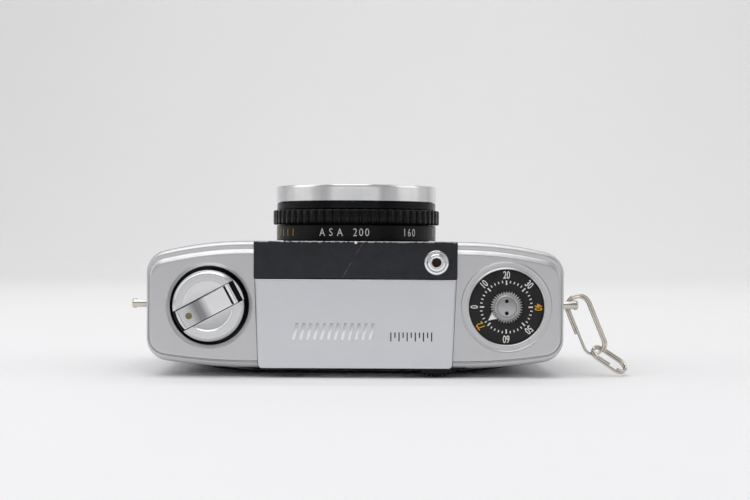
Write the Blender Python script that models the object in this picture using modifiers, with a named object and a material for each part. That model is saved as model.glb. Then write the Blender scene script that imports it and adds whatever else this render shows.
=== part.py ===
"""Half frame camera, lying on its back with the lens up.

Sizes are in millimetres and become metres in the helpers. X runs along the body, Z is the lens axis
and -Y is the camera's top. The origin is where the lens axis meets the flat of the back.
"""

import math

import bmesh
import bpy
from mathutils import Matrix, Vector

MM = 0.001
GAP = 0.1  # air between pieces that touch
OBJECT = "half_frame_camera"

# Body outline, across the lens axis
HALF_WIDTH = 54.1
FRONT = 35.0
COVER_FRONT = 35.3
COVER_BACK = 2.4
TRAY_BACK = 0.6
CORNER = 6.0
FRONT_BOW = (27.5, 92.0)  # half length of the flat, radius of the bow beyond it
COVER_BOW = (27.0, 141.0)
TRAY_BOW = (22.0, 90.0)
WALL = 1.0

# Levels from the top of the camera to its base
TOP = -35.0
BLOCK_TOP = -36.0
COVER_EDGE = -22.0
DECK = -21.7
CHAMBER_TOP = -19.5
CASTING_BASE = 27.7
BASE = 30.0
BASE_PLATE = 2.0
SPLIT = 8.0  # where the tray meets the casting
FILM_PLANE = 7.6
LIP_FRONT = 3.4  # the tray's upper lip stays behind the film, so that the back slides clear

# Block between the two wings
BLOCK_HALF_BACK = 25.05
BLOCK_HALF_FRONT = 26.0
STRIP_HALF = 26.25
BLOCK_BACK = 2.5
BLOCK_STRIP = 25.55  # where the plate meets the dark strip
BLOCK_FRONT = 35.3
SHEET = 0.8

# Axes that run from the top to the base, as X and Z
REWIND = (-37.7, 18.55)
ADVANCE = (21.2, 12.0)
SPOOL = (39.0, 18.5)
BUTTON = (20.8, 29.9)
TRIPOD = (0.0, 18.6)
FINDER = (-16.5, -29.3)  # X and Y of the sight line

# Rewind knob and crank
KNOB_R = 9.2
KNOB_TOP = -38.2
KNOB_FOOT = -29.5
CRANK_ANGLE = math.radians(28.0)
CRANK_HALF = 2.65
HINGE_REACH = 6.6
HINGE_LEVEL = -37.5
HANDLE_REACH = -5.5

# Counter, wheel and gears
DIAL_R = 9.65
WHEEL_R = 11.7
GEAR_TEETH = (20, 32)
GEAR_LEVELS = (-28.0, -24.5)

# Lens, from the body outwards
BAND_R = 22.4
GRIP_R = 23.35
RING_R = 22.5
RING_FRONT = 50.6
TUBE_R = 20.6

# Strap lugs and links
LUG_LEVEL = -24.0
LUG_Z = 18.6
LUG_REACH = 59.2
LUG_SLOT = (55.15, 58.2)
WIRE_R = 0.65
LINK_RADIUS = 3.0
LINK_TOP = Vector((59.4, LUG_LEVEL, 18.1))
LINK_FOOT = Vector((63.43, LUG_LEVEL, 8.25))
HOOK = Vector((65.4, LUG_LEVEL, 6.0))
SMALL_RADIUS = 2.6
SMALL_LENGTH = 4.8
SMALL_ALONG = Vector((0.8307, -0.0982, -0.548))
SMALL_ACROSS = Vector((-0.3603, -0.8452, -0.3948))
SMALL_SHIFT = (0.3, 0.65)  # along and across, so that the wires pass clear of each other

# Colour, roughness and metallic value of each finish
SATIN = ((0.42, 0.41, 0.39), 0.34, 1.0)
PLATE = ((0.50, 0.51, 0.53), 0.28, 1.0)
CHROME = ((0.62, 0.62, 0.63), 0.14, 1.0)
NICKEL = ((0.47, 0.45, 0.40), 0.26, 1.0)
STEEL = ((0.38, 0.38, 0.38), 0.3, 1.0)
BRASS = ((0.55, 0.40, 0.16), 0.35, 1.0)
SLATE = ((0.035, 0.037, 0.045), 0.45, 0.0)
BLACK = ((0.012, 0.012, 0.013), 0.4, 0.0)
LEATHER = ((0.016, 0.016, 0.017), 0.65, 0.0)
CAST = ((0.06, 0.06, 0.065), 0.5, 0.6)
GLASS = ((0.10, 0.13, 0.16), 0.05, 0.0)
CELL = ((0.20, 0.16, 0.09), 0.3, 0.3)

TURNS = {
    "up": Matrix.Identity(4),
    "top": Matrix.Rotation(math.radians(90.0), 4, "X"),
    "right": Matrix.Rotation(math.radians(90.0), 4, "Y"),
}


def clear_scene():
    for old in list(bpy.data.objects):
        bpy.data.objects.remove(old, do_unlink=True)


def make_collections():
    made = []
    for name in (OBJECT, "cutters"):
        group = bpy.data.collections.new(name)
        bpy.context.scene.collection.children.link(group)
        made.append(group)
    return made


def make_material(name, finish):
    colour, roughness, metallic = finish
    material = bpy.data.materials.new(name)
    material.use_nodes = True
    shader = material.node_tree.nodes["Principled BSDF"]
    shader.inputs["Base Color"].default_value = (*colour, 1.0)
    shader.inputs["Roughness"].default_value = roughness
    shader.inputs["Metallic"].default_value = metallic
    return material


clear_scene()
PARTS, CUTTERS = make_collections()


def register(obj, finish):
    """Puts an object among the parts with its own material, or among the cutters."""
    if finish is None:
        CUTTERS.objects.link(obj)
        obj.hide_render = True
        obj.display_type = "WIRE"
        return obj
    PARTS.objects.link(obj)
    obj.data.materials.append(make_material(obj.name, finish))
    return obj


def from_bmesh(name, build, finish):
    mesh = bpy.data.meshes.new(name)
    work = bmesh.new()
    build(work)
    work.to_mesh(mesh)
    work.free()
    return register(bpy.data.objects.new(name, mesh), finish)


def box(name, low, high, finish=None):
    """A box between two corners."""
    low = Vector(low)
    high = Vector(high)

    def build(work):
        bmesh.ops.create_cube(work, size=1.0)
        bmesh.ops.scale(work, vec=(high - low) * MM, verts=work.verts)
        bmesh.ops.translate(work, vec=(low + high) * 0.5 * MM, verts=work.verts)

    return from_bmesh(name, build, finish)


def turned(name, profile, centre, axis, finish=None, steps=48, ring=False):
    """A turned piece: the profile holds radii and heights, from the top of the outer side down."""
    mesh = bpy.data.meshes.new(name)
    points = [(radius * MM, 0.0, height * MM) for radius, height in profile]
    edges = [(i, i + 1) for i in range(len(points) - 1)]
    if ring:
        edges.append((len(points) - 1, 0))
    mesh.from_pydata(points, edges, [])
    obj = bpy.data.objects.new(name, mesh)
    obj.matrix_world = Matrix.Translation(Vector(centre) * MM) @ TURNS[axis]
    screw = obj.modifiers.new("turn", "SCREW")
    screw.steps = steps
    screw.render_steps = steps
    screw.use_merge_vertices = True
    screw.merge_threshold = 0.00001
    return register(obj, finish)


def disc(name, radius, start, end, place, finish=None, steps=48):
    """A round bar from the top towards the base, between two levels on an axis."""
    profile = [(0, -start), (radius, -start), (radius, -end), (0, -end)]
    return turned(name, profile, (place[0], 0, place[1]), "top", finish, steps)


def sleeve(name, inner, outer, start, end, place, finish=None, steps=48):
    """A round tube between two levels on an axis."""
    profile = [(inner, -start), (outer, -start), (outer, -end), (inner, -end)]
    return turned(name, profile, (place[0], 0, place[1]), "top", finish, steps, ring=True)


def lens_ring(name, inner, outer, back, front, finish=None, steps=64):
    """A plain ring around the lens axis."""
    profile = [(inner, front), (outer, front), (outer, back), (inner, back)]
    return turned(name, profile, (0, 0, 0), "up", finish, steps, ring=True)


def curve_to_mesh(curve_obj, name, finish):
    """Turns a curve object into a welded mesh object in the same place."""
    bpy.context.scene.collection.objects.link(curve_obj)
    graph = bpy.context.evaluated_depsgraph_get()
    mesh = bpy.data.meshes.new_from_object(curve_obj.evaluated_get(graph))
    work = bmesh.new()
    work.from_mesh(mesh)
    bmesh.ops.remove_doubles(work, verts=work.verts, dist=0.000001)
    bmesh.ops.dissolve_limit(work, angle_limit=0.01, verts=work.verts, edges=work.edges)
    work.to_mesh(mesh)
    work.free()
    mesh.materials.clear()
    obj = bpy.data.objects.new(name, mesh)
    obj.matrix_world = curve_obj.matrix_world
    bpy.data.objects.remove(curve_obj, do_unlink=True)
    return register(obj, finish)


def add_outline(curve, points):
    spline = curve.splines.new("POLY")
    spline.points.add(len(points) - 1)
    for point, (across, up) in zip(spline.points, points):
        point.co = (across * MM, up * MM, 0.0, 1.0)
    spline.use_cyclic_u = True


def slab(name, outlines, start, end, axis="top", finish=None):
    """A flat plate from one outline and its holes, between two levels on the axis."""
    curve = bpy.data.curves.new(name, "CURVE")
    curve.dimensions = "2D"
    curve.fill_mode = "BOTH"
    curve.extrude = abs(end - start) / 2 * MM
    for points in outlines:
        add_outline(curve, points)
    obj = bpy.data.objects.new(name + "_curve", curve)
    middle = (start + end) / 2 * MM
    place = Vector((0.0, middle, 0.0)) if axis == "top" else Vector((0.0, 0.0, middle))
    obj.matrix_world = Matrix.Translation(place) @ TURNS[axis]
    bpy.context.view_layer.update()
    return curve_to_mesh(obj, name, finish)


def wire_loop(name, points, finish):
    """A closed loop of round wire."""
    curve = bpy.data.curves.new(name, "CURVE")
    curve.dimensions = "3D"
    curve.bevel_depth = WIRE_R * MM
    curve.bevel_resolution = 2
    spline = curve.splines.new("POLY")
    spline.points.add(len(points) - 1)
    for point, place in zip(spline.points, points):
        point.co = (*(place * MM), 1.0)
    spline.use_cyclic_u = True
    return curve_to_mesh(bpy.data.objects.new(name + "_curve", curve), name, finish)


def boolean(obj, operation, tools):
    for tool in tools:
        step = obj.modifiers.new(operation.lower(), "BOOLEAN")
        step.operation = operation
        step.solver = "EXACT"
        step.object = tool
    return obj


def cut(obj, *tools):
    return boolean(obj, "DIFFERENCE", tools)


def join(obj, *tools):
    return boolean(obj, "UNION", tools)


def round_edges(obj, width, segments=2):
    bevel = obj.modifiers.new("round", "BEVEL")
    bevel.width = width * MM
    bevel.segments = segments
    bevel.limit_method = "ANGLE"
    bevel.angle_limit = math.radians(60.0)
    return obj


def turn_about(obj, angle, centre):
    """Turns an object about a line through a point of the top view, parallel to Y."""
    pivot = Matrix.Translation(Vector((centre[0], 0.0, centre[1])) * MM)
    obj.matrix_world = pivot @ Matrix.Rotation(-angle, 4, "Y") @ pivot.inverted() @ obj.matrix_world
    return obj


def moving(name, place, *pieces):
    """Parents the pieces of a moving body to an empty that stands on its joint's axis."""
    empty = bpy.data.objects.new(name, None)
    PARTS.objects.link(empty)
    empty.location = Vector(place) * MM
    empty.empty_display_size = 0.004
    back = Matrix.Translation(-Vector(place) * MM)
    for piece in pieces:
        piece.parent = empty
        piece.matrix_local = back @ piece.matrix_world
    return empty


def circle(centre, radius, steps=32):
    turn = 2 * math.pi / steps
    return [
        (centre[0] + radius * math.cos(i * turn), centre[1] + radius * math.sin(i * turn))
        for i in range(steps)
    ]


def rectangle(low, high):
    return [(low[0], low[1]), (high[0], low[1]), (high[0], high[1]), (low[0], high[1])]


def gear(centre, root, tip, teeth, shift=0.0):
    """Outline of a toothed wheel with flat tips."""
    points = []
    pitch = 2 * math.pi / teeth
    for tooth in range(teeth):
        middle = tooth * pitch + shift
        for part, radius in ((-0.27, root), (-0.15, tip), (0.15, tip), (0.27, root)):
            angle = middle + part * pitch
            points.append((centre[0] + radius * math.cos(angle), centre[1] + radius * math.sin(angle)))
    return points


def bowed_side(level, sign, bow, half_width, corner):
    """Half of a long side with its corner: a flat, a bow that falls away and a round corner."""
    flat, radius = bow
    tangent = half_width - corner
    for _ in range(6):
        slope = math.atan((tangent - flat) / radius)
        tangent = half_width - corner + corner * math.sin(slope)
    points = []
    for i in range(7):
        x = flat + (tangent - flat) * i / 6
        points.append((x, level - sign * (x - flat) ** 2 / (2 * radius)))
    centre = points[-1][1] - sign * corner * math.cos(slope)
    for i in range(1, 8):
        angle = (math.pi / 2 - slope) * (1 - i / 7)
        along = half_width - corner + corner * math.cos(angle)
        points.append((along, centre + sign * corner * math.sin(angle)))
    return points


def body_outline(front, back, half_width, corner, back_bow):
    """Outline of the body seen from the top, in X and Z."""
    upper = bowed_side(front, 1.0, FRONT_BOW, half_width, corner)
    lower = bowed_side(back, -1.0, back_bow, half_width, corner)
    right = upper + lower[::-1]
    return right + [(-x, z) for x, z in reversed(right)]


def inset_outline(inset):
    """Outline of the top cover, or a smaller one inside it."""
    front = COVER_FRONT - inset
    return body_outline(front, COVER_BACK + inset, HALF_WIDTH - inset, CORNER - inset, COVER_BOW)


def racetrack(first, second, radius, steps=8):
    """Centreline of a link: two half circles joined by straight runs."""
    along = (second - first).normalized()
    plane = SMALL_ACROSS if radius == SMALL_RADIUS else Vector((along.z, 0.0, -along.x))
    points = []
    for centre, turn in ((second, 1.0), (first, -1.0)):
        for i in range(steps + 1):
            angle = math.pi * i / steps
            side = plane * math.cos(angle) * turn
            points.append(centre + (side + along * math.sin(angle) * turn) * radius)
    return points


def top_cover():
    cover = slab("top_cover", [inset_outline(0.0)], TOP, COVER_EDGE + 4.0, "top", SATIN)
    round_edges(cover, 1.2, 3)
    bezel = sleeve("bezel_ring", DIAL_R + 0.1, 11.65, TOP - 0.5, TOP + 0.5, SPOOL)
    join(cover, bezel)
    hollow = slab("cover_hollow", [inset_outline(WALL)], TOP + WALL, COVER_EDGE + 6.0)
    trim = box("cover_trim", (-60, COVER_EDGE, -5), (60, COVER_EDGE + 7, 40))
    notch = box("cover_notch", (-STRIP_HALF - 0.15, -37, 33.5), (STRIP_HALF + 0.15, -20, 37))
    half = BLOCK_HALF_BACK + GAP
    plate_notch = box("cover_plate_notch", (-half, -37, 0), (half, -20, BLOCK_BACK + SHEET + GAP))
    well = disc("well_hole", 10.9, -37, -33, REWIND)
    dial = disc("dial_hole", DIAL_R + 0.1, -37, -33, SPOOL)
    button = disc("cover_button_hole", 3.05, -37, -33, BUTTON, steps=24)
    wheel = box("cover_wheel_slot", (ADVANCE[0] - 9, -33.4, 0), (ADVANCE[0] + 9, -29.1, 5.5))
    sight = box("cover_sight", (FINDER[0] - 3, FINDER[1] - 2, 0), (FINDER[0] + 3, FINDER[1] + 2, 5))
    lugs = turned(
        "lug_holes", [(0, 60), (1.45, 60), (1.45, -60), (0, -60)], (0, LUG_LEVEL, LUG_Z), "right", None, 24
    )
    return cut(cover, hollow, trim, notch, plate_notch, well, dial, button, wheel, sight, lugs)


def block_plate_outline():
    """The plate between the wings, a little wider towards the front, with round back corners."""
    radius = 1.0
    right = [(BLOCK_HALF_FRONT, BLOCK_STRIP)]
    for i in range(5):
        angle = math.pi / 8 * i
        right.append(
            (
                BLOCK_HALF_BACK - radius + radius * math.cos(angle),
                BLOCK_BACK + radius - radius * math.sin(angle),
            )
        )
    return right + [(-x, z) for x, z in reversed(right)]


def block():
    plate = slab("block_cover", [block_plate_outline()], BLOCK_TOP, COVER_EDGE - GAP, "top", PLATE)
    under = box("block_under", (-27, TOP - 0.15, BLOCK_BACK + SHEET), (27, -20, 27))
    wheel = box("block_wheel_slot", (ADVANCE[0] - 9, -33.4, 0), (ADVANCE[0] + 9, -29.1, 5.5))
    sight = box("block_sight", (FINDER[0] - 3, FINDER[1] - 2, 0), (FINDER[0] + 3, FINDER[1] + 2, 5))
    cut(plate, under, wheel, sight)

    strip = box(
        "fascia",
        (-STRIP_HALF, BLOCK_TOP, BLOCK_STRIP + GAP),
        (STRIP_HALF, COVER_EDGE - GAP, BLOCK_FRONT),
        SLATE,
    )
    inside = box("fascia_inside", (-27, TOP - 0.15, 24), (27, -20, 34.1))
    button = disc("strip_button_hole", 3.05, -37, -33, BUTTON, steps=24)
    view = box("fascia_view", (FINDER[0] - 4.5, FINDER[1] - 3, 33), (FINDER[0] + 4.5, FINDER[1] + 3, 37))
    frame = box("fascia_frame", (-8, FINDER[1] - 3, 33), (1, FINDER[1] + 3, 37))
    cut(strip, inside, button, view, frame)


def finder():
    x, y = FINDER
    box("viewfinder_window", (x - 4.4, y - 2.9, 34.2), (x + 4.4, y + 2.9, 35.1), GLASS)
    box("frame_window", (-7.9, y - 2.9, 34.2), (0.9, y + 2.9, 35.1), GLASS)
    tube = box("viewfinder_tube", (x - 4.6, y - 4.2, 4.6), (x + 4.6, y + 4.2, 33.9), BLACK)
    cut(tube, box("finder_bore", (x - 3.8, y - 3.4, 3), (x + 3.8, y + 3.4, 36)))
    frame = box("eyepiece_frame", (x - 4, y - 3, 1.9), (x + 4, y + 3, 2.4), BLACK)
    cut(frame, box("eyepiece_bore", (x - 2.9, y - 1.9, 1), (x + 2.9, y + 1.9, 3)))
    box("eyepiece_lens", (x - 2.9, y - 1.9, 2.5), (x + 2.9, y + 1.9, 4.3), GLASS)


def body_casting():
    outline = body_outline(FRONT - 0.8, 0.0, HALF_WIDTH - 0.8, CORNER - 0.8, COVER_BOW)
    casting = slab("body_casting", [outline], DECK, CASTING_BASE, "top", CAST)
    back = box("casting_back", (-60, -30, -5), (60, 35, SPLIT + 0.3))
    cassette = disc("cassette_bore", 13.0, CHAMBER_TOP, 35, REWIND)
    cassette_back = box("cassette_back", (REWIND[0] - 13, CHAMBER_TOP, 5), (REWIND[0] + 13, 35, REWIND[1]))
    spool = disc("spool_bore", 10.0, CHAMBER_TOP, 25, SPOOL)
    spool_back = box("spool_back", (SPOOL[0] - 10, CHAMBER_TOP, 5), (SPOOL[0] + 10, 25, SPOOL[1]))
    sprocket = disc("sprocket_bore", 6.0, CHAMBER_TOP, 17, ADVANCE, steps=32)
    sprocket_back = box(
        "sprocket_back", (ADVANCE[0] - 6, CHAMBER_TOP, 5), (ADVANCE[0] + 6, 17, ADVANCE[1])
    )
    gate = box("light_box", (-9, -12, 5), (9, 12, 20))
    shutter = turned(
        "shutter_seat", [(0, 37), (21.2, 37), (21.2, 27.2), (14, 27.2), (14, 19.2), (0, 19.2)],
        (0, 0, 0), "up", None, 64,
    )
    rewind_hole = disc("deck_rewind", 3.3, -25, -15, REWIND, steps=24)
    advance_hole = disc("deck_advance", 1.8, -25, -15, ADVANCE, steps=24)
    spool_hole = disc("deck_spool", 3.3, -25, -15, SPOOL, steps=24)
    button_hole = disc("base_button", 1.6, 15, 35, ADVANCE, steps=24)
    bush = disc("bush_room", 6.4, 25.2, 35, TRIPOD, steps=32)
    return cut(
        casting, back, cassette, cassette_back, spool, spool_back, sprocket, sprocket_back, gate,
        shutter, rewind_hole, advance_hole, spool_hole, button_hole, bush,
    )


def front_skin():
    """Leatherette round the front and the ends of the body."""
    outer = body_outline(FRONT - 0.1, 0.0, HALF_WIDTH - 0.1, CORNER - 0.1, COVER_BOW)
    inner = body_outline(FRONT - 0.7, -6.0, HALF_WIDTH - 0.7, CORNER - 0.7, COVER_BOW)
    skin = slab("front_leatherette", [outer], DECK + 0.2, CASTING_BASE - 0.1, "top", LEATHER)
    core = slab("skin_core", [inner], -30, 35)
    back = box("skin_back", (-60, -30, -10), (60, 35, SPLIT + 0.4))
    lens = turned("skin_lens", [(0, 40), (21.4, 40), (21.4, 20), (0, 20)], (0, 0, 0), "up", None, 64)
    return cut(skin, core, back, lens)


def film_gate():
    outline = rectangle((-19, -15.5), (13.5, 15.5))
    hole = rectangle((-9, -12), (9, 12))
    slab("film_gate", [outline, hole], FILM_PLANE, SPLIT + 0.2, "up", STEEL)


def rewind():
    cup = [
        (10.05, 35.4), (10.8, 35.4), (10.8, 26.5), (3.4, 26.5), (3.4, 27.5), (10.05, 27.5),
    ]
    turned("rewind_well", cup, (REWIND[0], 0, REWIND[1]), "top", BLACK, 64, ring=True)
    collar = sleeve("rewind_sleeve", 1.9, 3.1, -28.5, -19.9, REWIND, BRASS, 24)
    pull = moving("rewind_pull", (REWIND[0], -28.5, REWIND[1]), collar)

    chamfer = 0.9
    profile = [
        (0, -KNOB_TOP - 0.3), (6.3, -KNOB_TOP - 0.3), (6.4, -KNOB_TOP), (KNOB_R - chamfer, -KNOB_TOP),
        (KNOB_R, -KNOB_TOP - chamfer), (KNOB_R, -KNOB_FOOT), (0, -KNOB_FOOT),
    ]
    knob = turned("rewind_knob", profile, (REWIND[0], 0, REWIND[1]), "top", CHROME, 64)
    half = CRANK_HALF + 0.1
    x, z = REWIND
    slot = box("knob_slot", (x - 10, -39, z - half), (x + 10, KNOB_TOP + 1.1, z + half))
    hinge_room = box("hinge_room", (x + 5.3, -39, z - half), (x + 10, -36.4, z + half))
    pocket = disc("handle_pocket", 2.6, -39, -33.1, (x + HANDLE_REACH - 0.25, z), steps=32)
    for tool in (slot, hinge_room, pocket):
        turn_about(tool, CRANK_ANGLE, REWIND)
    cut(knob, slot, hinge_room, pocket)

    shaft_profile = [(0, 29.4), (1.7, 29.4), (1.7, 13), (2.9, 13), (2.9, 9), (0, 9)]
    shaft = turned("rewind_shaft", shaft_profile, (x, 0, z), "top", STEEL, 24)
    cut(shaft, box("fork_slot", (x - 4, -12, z - 0.9), (x + 4, -8, z + 0.9)))
    hinge_x = x + HINGE_REACH
    pin_profile = [(0, half - 0.08), (0.35, half - 0.08), (0.35, 0.08 - half), (0, 0.08 - half)]
    pin = turned("crank_hinge_pin", pin_profile, (hinge_x, HINGE_LEVEL, z), "up", STEEL, 16)
    turn_about(pin, CRANK_ANGLE, REWIND)
    turn = moving("rewind_turn", (x, KNOB_TOP, z), knob, shaft, pin)
    turn.parent = pull
    turn.matrix_local = Matrix.Translation(Vector((0, KNOB_TOP + 28.5, 0)) * MM)
    crank(turn)


def crank(turn):
    x, z = REWIND
    half = CRANK_HALF
    reach = 9.0
    outline = [(x + HINGE_REACH - 0.3, z - half), (x + HINGE_REACH - 0.3, z + half)]
    start = math.asin(half / reach)
    for i in range(7):
        angle = math.pi - start + 2 * start * i / 6
        outline.append((x + reach * math.cos(angle), z + reach * math.sin(angle)))
    arm = slab("crank_arm", [outline, circle((x + HANDLE_REACH, z), 0.6, 16)], -38.15, -37.35, "top", CHROME)
    knuckle = turned(
        "crank_knuckle", [(0, half), (0.85, half), (0.85, -half), (0, -half)],
        (x + HINGE_REACH, HINGE_LEVEL, z), "up", None, 24,
    )
    bore = turned(
        "knuckle_bore", [(0, 4), (0.45, 4), (0.45, -4), (0, -4)],
        (x + HINGE_REACH, HINGE_LEVEL, z), "up", None, 16,
    )
    rivet_profile = [(0, 38.4), (0.6, 38.4), (0.9, 38.25), (0.5, 38.25), (0.5, 34), (0, 34)]
    rivet = turned("crank_rivet", rivet_profile, (x + HANDLE_REACH, 0, z), "top", STEEL, 16)
    handle = sleeve("crank_handle", 0.6, 1.9, -37.2, -33.6, (x + HANDLE_REACH, z), CHROME, 24)
    for piece in (arm, knuckle, bore, rivet, handle):
        turn_about(piece, CRANK_ANGLE, REWIND)
    join(arm, knuckle)
    cut(arm, bore)

    along = Vector((math.cos(CRANK_ANGLE), 0, math.sin(CRANK_ANGLE)))
    hinge = Vector((x, HINGE_LEVEL, z)) + along * HINGE_REACH
    grip = Vector((x, -37.2, z)) + along * HANDLE_REACH
    unfold = moving("crank_unfold", hinge, arm, rivet)
    spin = moving("crank_handle_spin", grip, handle)
    spin.parent = unfold
    spin.matrix_local = Matrix.Translation((grip - hinge) * MM)
    unfold.parent = turn
    unfold.matrix_local = Matrix.Translation((hinge - Vector((x, KNOB_TOP, z))) * MM)


def counter():
    dial = sleeve("counter_dial", 0.9, DIAL_R, TOP + 0.4, TOP + 1.4, SPOOL, BLACK, 64)
    profile = [(0, 35.5), (4.3, 35.5), (4.3, 34.8), (0.7, 34.8), (0.7, 33.3), (0, 33.3)]
    pointer = turned("counter_pointer", profile, (SPOOL[0], 0, SPOOL[1]), "top", CHROME, 48)
    x, z = SPOOL
    tip = slab("pointer_tip", [[(x, z + 1.1), (x, z - 1.1), (x + 6.3, z)]], -35.3, -34.85)
    turn_about(tip, math.radians(216.0), SPOOL)
    join(pointer, tip)
    screw = disc("counter_screw", 2.6, -35.9, -35.6, SPOOL, STEEL, 32)
    holes = [disc(f"screw_hole_{i}", 0.5, -37, -35.7, (SPOOL[0], SPOOL[1] + side * 1.55), steps=16)
             for i, side in enumerate((-1, 1))]
    cut(screw, *holes)
    moving("counter_turn", (SPOOL[0], TOP, SPOOL[1]), pointer, screw)


def transport():
    """Thumb wheel, sprocket, gears and take-up spool."""
    rim = WHEEL_R - 0.4
    wheel_profile = [(1.6, 33.0), (rim, 33.0), (WHEEL_R, 32.6), (WHEEL_R, 29.9), (rim, 29.5), (1.6, 29.5)]
    place = (ADVANCE[0], 0, ADVANCE[1])
    wheel = turned("advance_wheel", wheel_profile, place, "top", BLACK, 64, ring=True)
    shaft = disc("sprocket_shaft", 1.5, -33.2, 16.8, ADVANCE, STEEL, 24)
    pieces = [wheel, shaft]
    for name, start, end in (("sprocket_top", -14, -9.5), ("sprocket_base", 9.5, 14)):
        outlines = [gear(ADVANCE, 4.5, 5.2, 8), circle(ADVANCE, 1.6, 24)]
        pieces.append(slab(name, outlines, start, end, "top", STEEL))

    distance = math.dist(ADVANCE, SPOOL)
    total = sum(GEAR_TEETH)
    small, large = (distance * teeth / total - 0.08 for teeth in GEAR_TEETH)
    outlines = [gear(ADVANCE, small - 1.2, small, GEAR_TEETH[0]), circle(ADVANCE, 1.6, 24)]
    pieces.append(slab("sprocket_gear", outlines, *GEAR_LEVELS, "top", BRASS))
    moving("advance_turn", (ADVANCE[0], -29.5, ADVANCE[1]), *pieces)

    outlines = [gear(SPOOL, large - 1.2, large, GEAR_TEETH[1]), circle(SPOOL, 3.1, 24)]
    spool_gear = slab("spool_gear", outlines, *GEAR_LEVELS, "top", BRASS)
    spool_profile = [
        (0, 28.2), (3.0, 28.2), (3.0, 19.2), (8.6, 19.2), (8.6, 18.2), (5.5, 18.2),
        (5.5, -23.6), (8.6, -23.6), (8.6, -24.6), (0, -24.6),
    ]
    spool = turned("take_up_spool", spool_profile, (SPOOL[0], 0, SPOOL[1]), "top", BLACK, 32)
    moving("spool_turn", (SPOOL[0], -28.2, SPOOL[1]), spool, spool_gear)


def release():
    profile = [(2.45, 36.6), (2.98, 36.6), (3.22, 36.1), (2.95, 36.1), (2.95, 33.0), (2.45, 33.0)]
    turned("release_collar", profile, (BUTTON[0], 0, BUTTON[1]), "top", CHROME, 32, ring=True)
    button_profile = [
        (0, 35.4), (1.0, 35.4), (1.3, 37.1), (2.1, 37.1), (2.35, 36.8), (2.35, 33.5), (0, 33.5),
    ]
    button = turned("shutter_button", button_profile, (BUTTON[0], 0, BUTTON[1]), "top", CHROME, 32)
    rod = disc("release_rod", 1.2, -33.4, -24.5, BUTTON, STEEL, 16)
    moving("shutter_release", (BUTTON[0], -37.1, BUTTON[1]), button, rod)


def shutter():
    housing = [
        (5.0, 27.0), (13.8, 27.0), (13.8, 19.4), (5.0, 19.4), (5.0, 22.6), (12.0, 22.6), (12.0, 24.0),
        (5.0, 24.0),
    ]
    turned("shutter_housing", housing, (0, 0, 0), "up", BLACK, 48, ring=True)
    for name, side, low in (("shutter_blade_a", 1, 22.8), ("shutter_blade_b", -1, 23.35)):
        ear = [(-5.8, -0.3), (8.8, -0.3), (8.8, -1.2), (10.8, -1.2), (10.8, 1.2), (8.8, 1.2)]
        arc = [math.radians(12 + 168 * i / 12) for i in range(13)]
        outline = [(x, side * y) for x, y in ear]
        outline += [(5.8 * math.cos(a), side * 5.8 * math.sin(a)) for a in arc]
        blade = slab(name, [outline], low, low + 0.3, "up", STEEL)
        moving(name + "_swing", (9.6, 0, low), blade)


def lens():
    mount = [
        (19.8, 43.9), (TUBE_R, 43.9), (TUBE_R, 35.2), (21.0, 35.2), (21.0, 27.4), (12.7, 27.4), (12.7, 29.0),
        (19.8, 29.0),
    ]
    turned("lens_mount", mount, (0, 0, 0), "up", BLACK, 64, ring=True)
    band = lens_ring("scale_band", TUBE_R + 0.2, BAND_R, 35.5, 39.7, BLACK, 72)
    ribs = gear((0, 0), GRIP_R - 0.55, GRIP_R, 60, 0.0)
    grip = slab("grip_ring", [ribs, circle((0, 0), TUBE_R + 0.2, 60)], 39.9, 43.9, "up", BLACK)
    moving("speed_ring_turn", (0, 0, 35.5), band, grip)
    lens_ring("spacer_ring", 19.75, 22.35, 44.1, 45.9, BLACK, 72)
    chrome = [
        (19.75, 49.8), (20.6, RING_FRONT), (22.2, RING_FRONT), (RING_R, RING_FRONT - 0.3), (RING_R, 46.0),
        (19.75, 46.0),
    ]
    turned("chrome_ring", chrome, (0, 0, 0), "up", CHROME, 72, ring=True)
    lens_ring("cell_carrier", 12.6, 19.6, 44.5, 46.3, BLACK)
    lens_ring("selenium_cell", 12.7, 19.6, 46.4, 47.2, CELL)
    window = [(12.7, 48.6), (14.5, 49.4), (17.8, 49.4), (19.6, 48.6), (19.6, 47.3), (12.7, 47.3)]
    turned("cell_window", window, (0, 0, 0), "up", GLASS, 64, ring=True)
    lens_ring("lens_barrel", 6.4, 12.5, 27.2, 43.6, BLACK, 48)
    cone = [(12.1, 48.8), (12.5, 48.8), (12.5, 43.8), (6.9, 43.8), (6.9, 45.4)]
    turned("inner_cone", cone, (0, 0, 0), "up", BLACK, 48, ring=True)
    dome = [(0, 45.2), (3.0, 45.0), (5.0, 44.55), (6.8, 43.8), (6.8, 43.75), (0, 43.7)]
    turned("front_element", dome, (0, 0, 0), "up", GLASS, 40)
    rear = [(0, 22.3), (4.9, 22.1), (4.9, 20.6), (0, 20.0)]
    turned("rear_element", rear, (0, 0, 0), "up", GLASS, 32)


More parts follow.
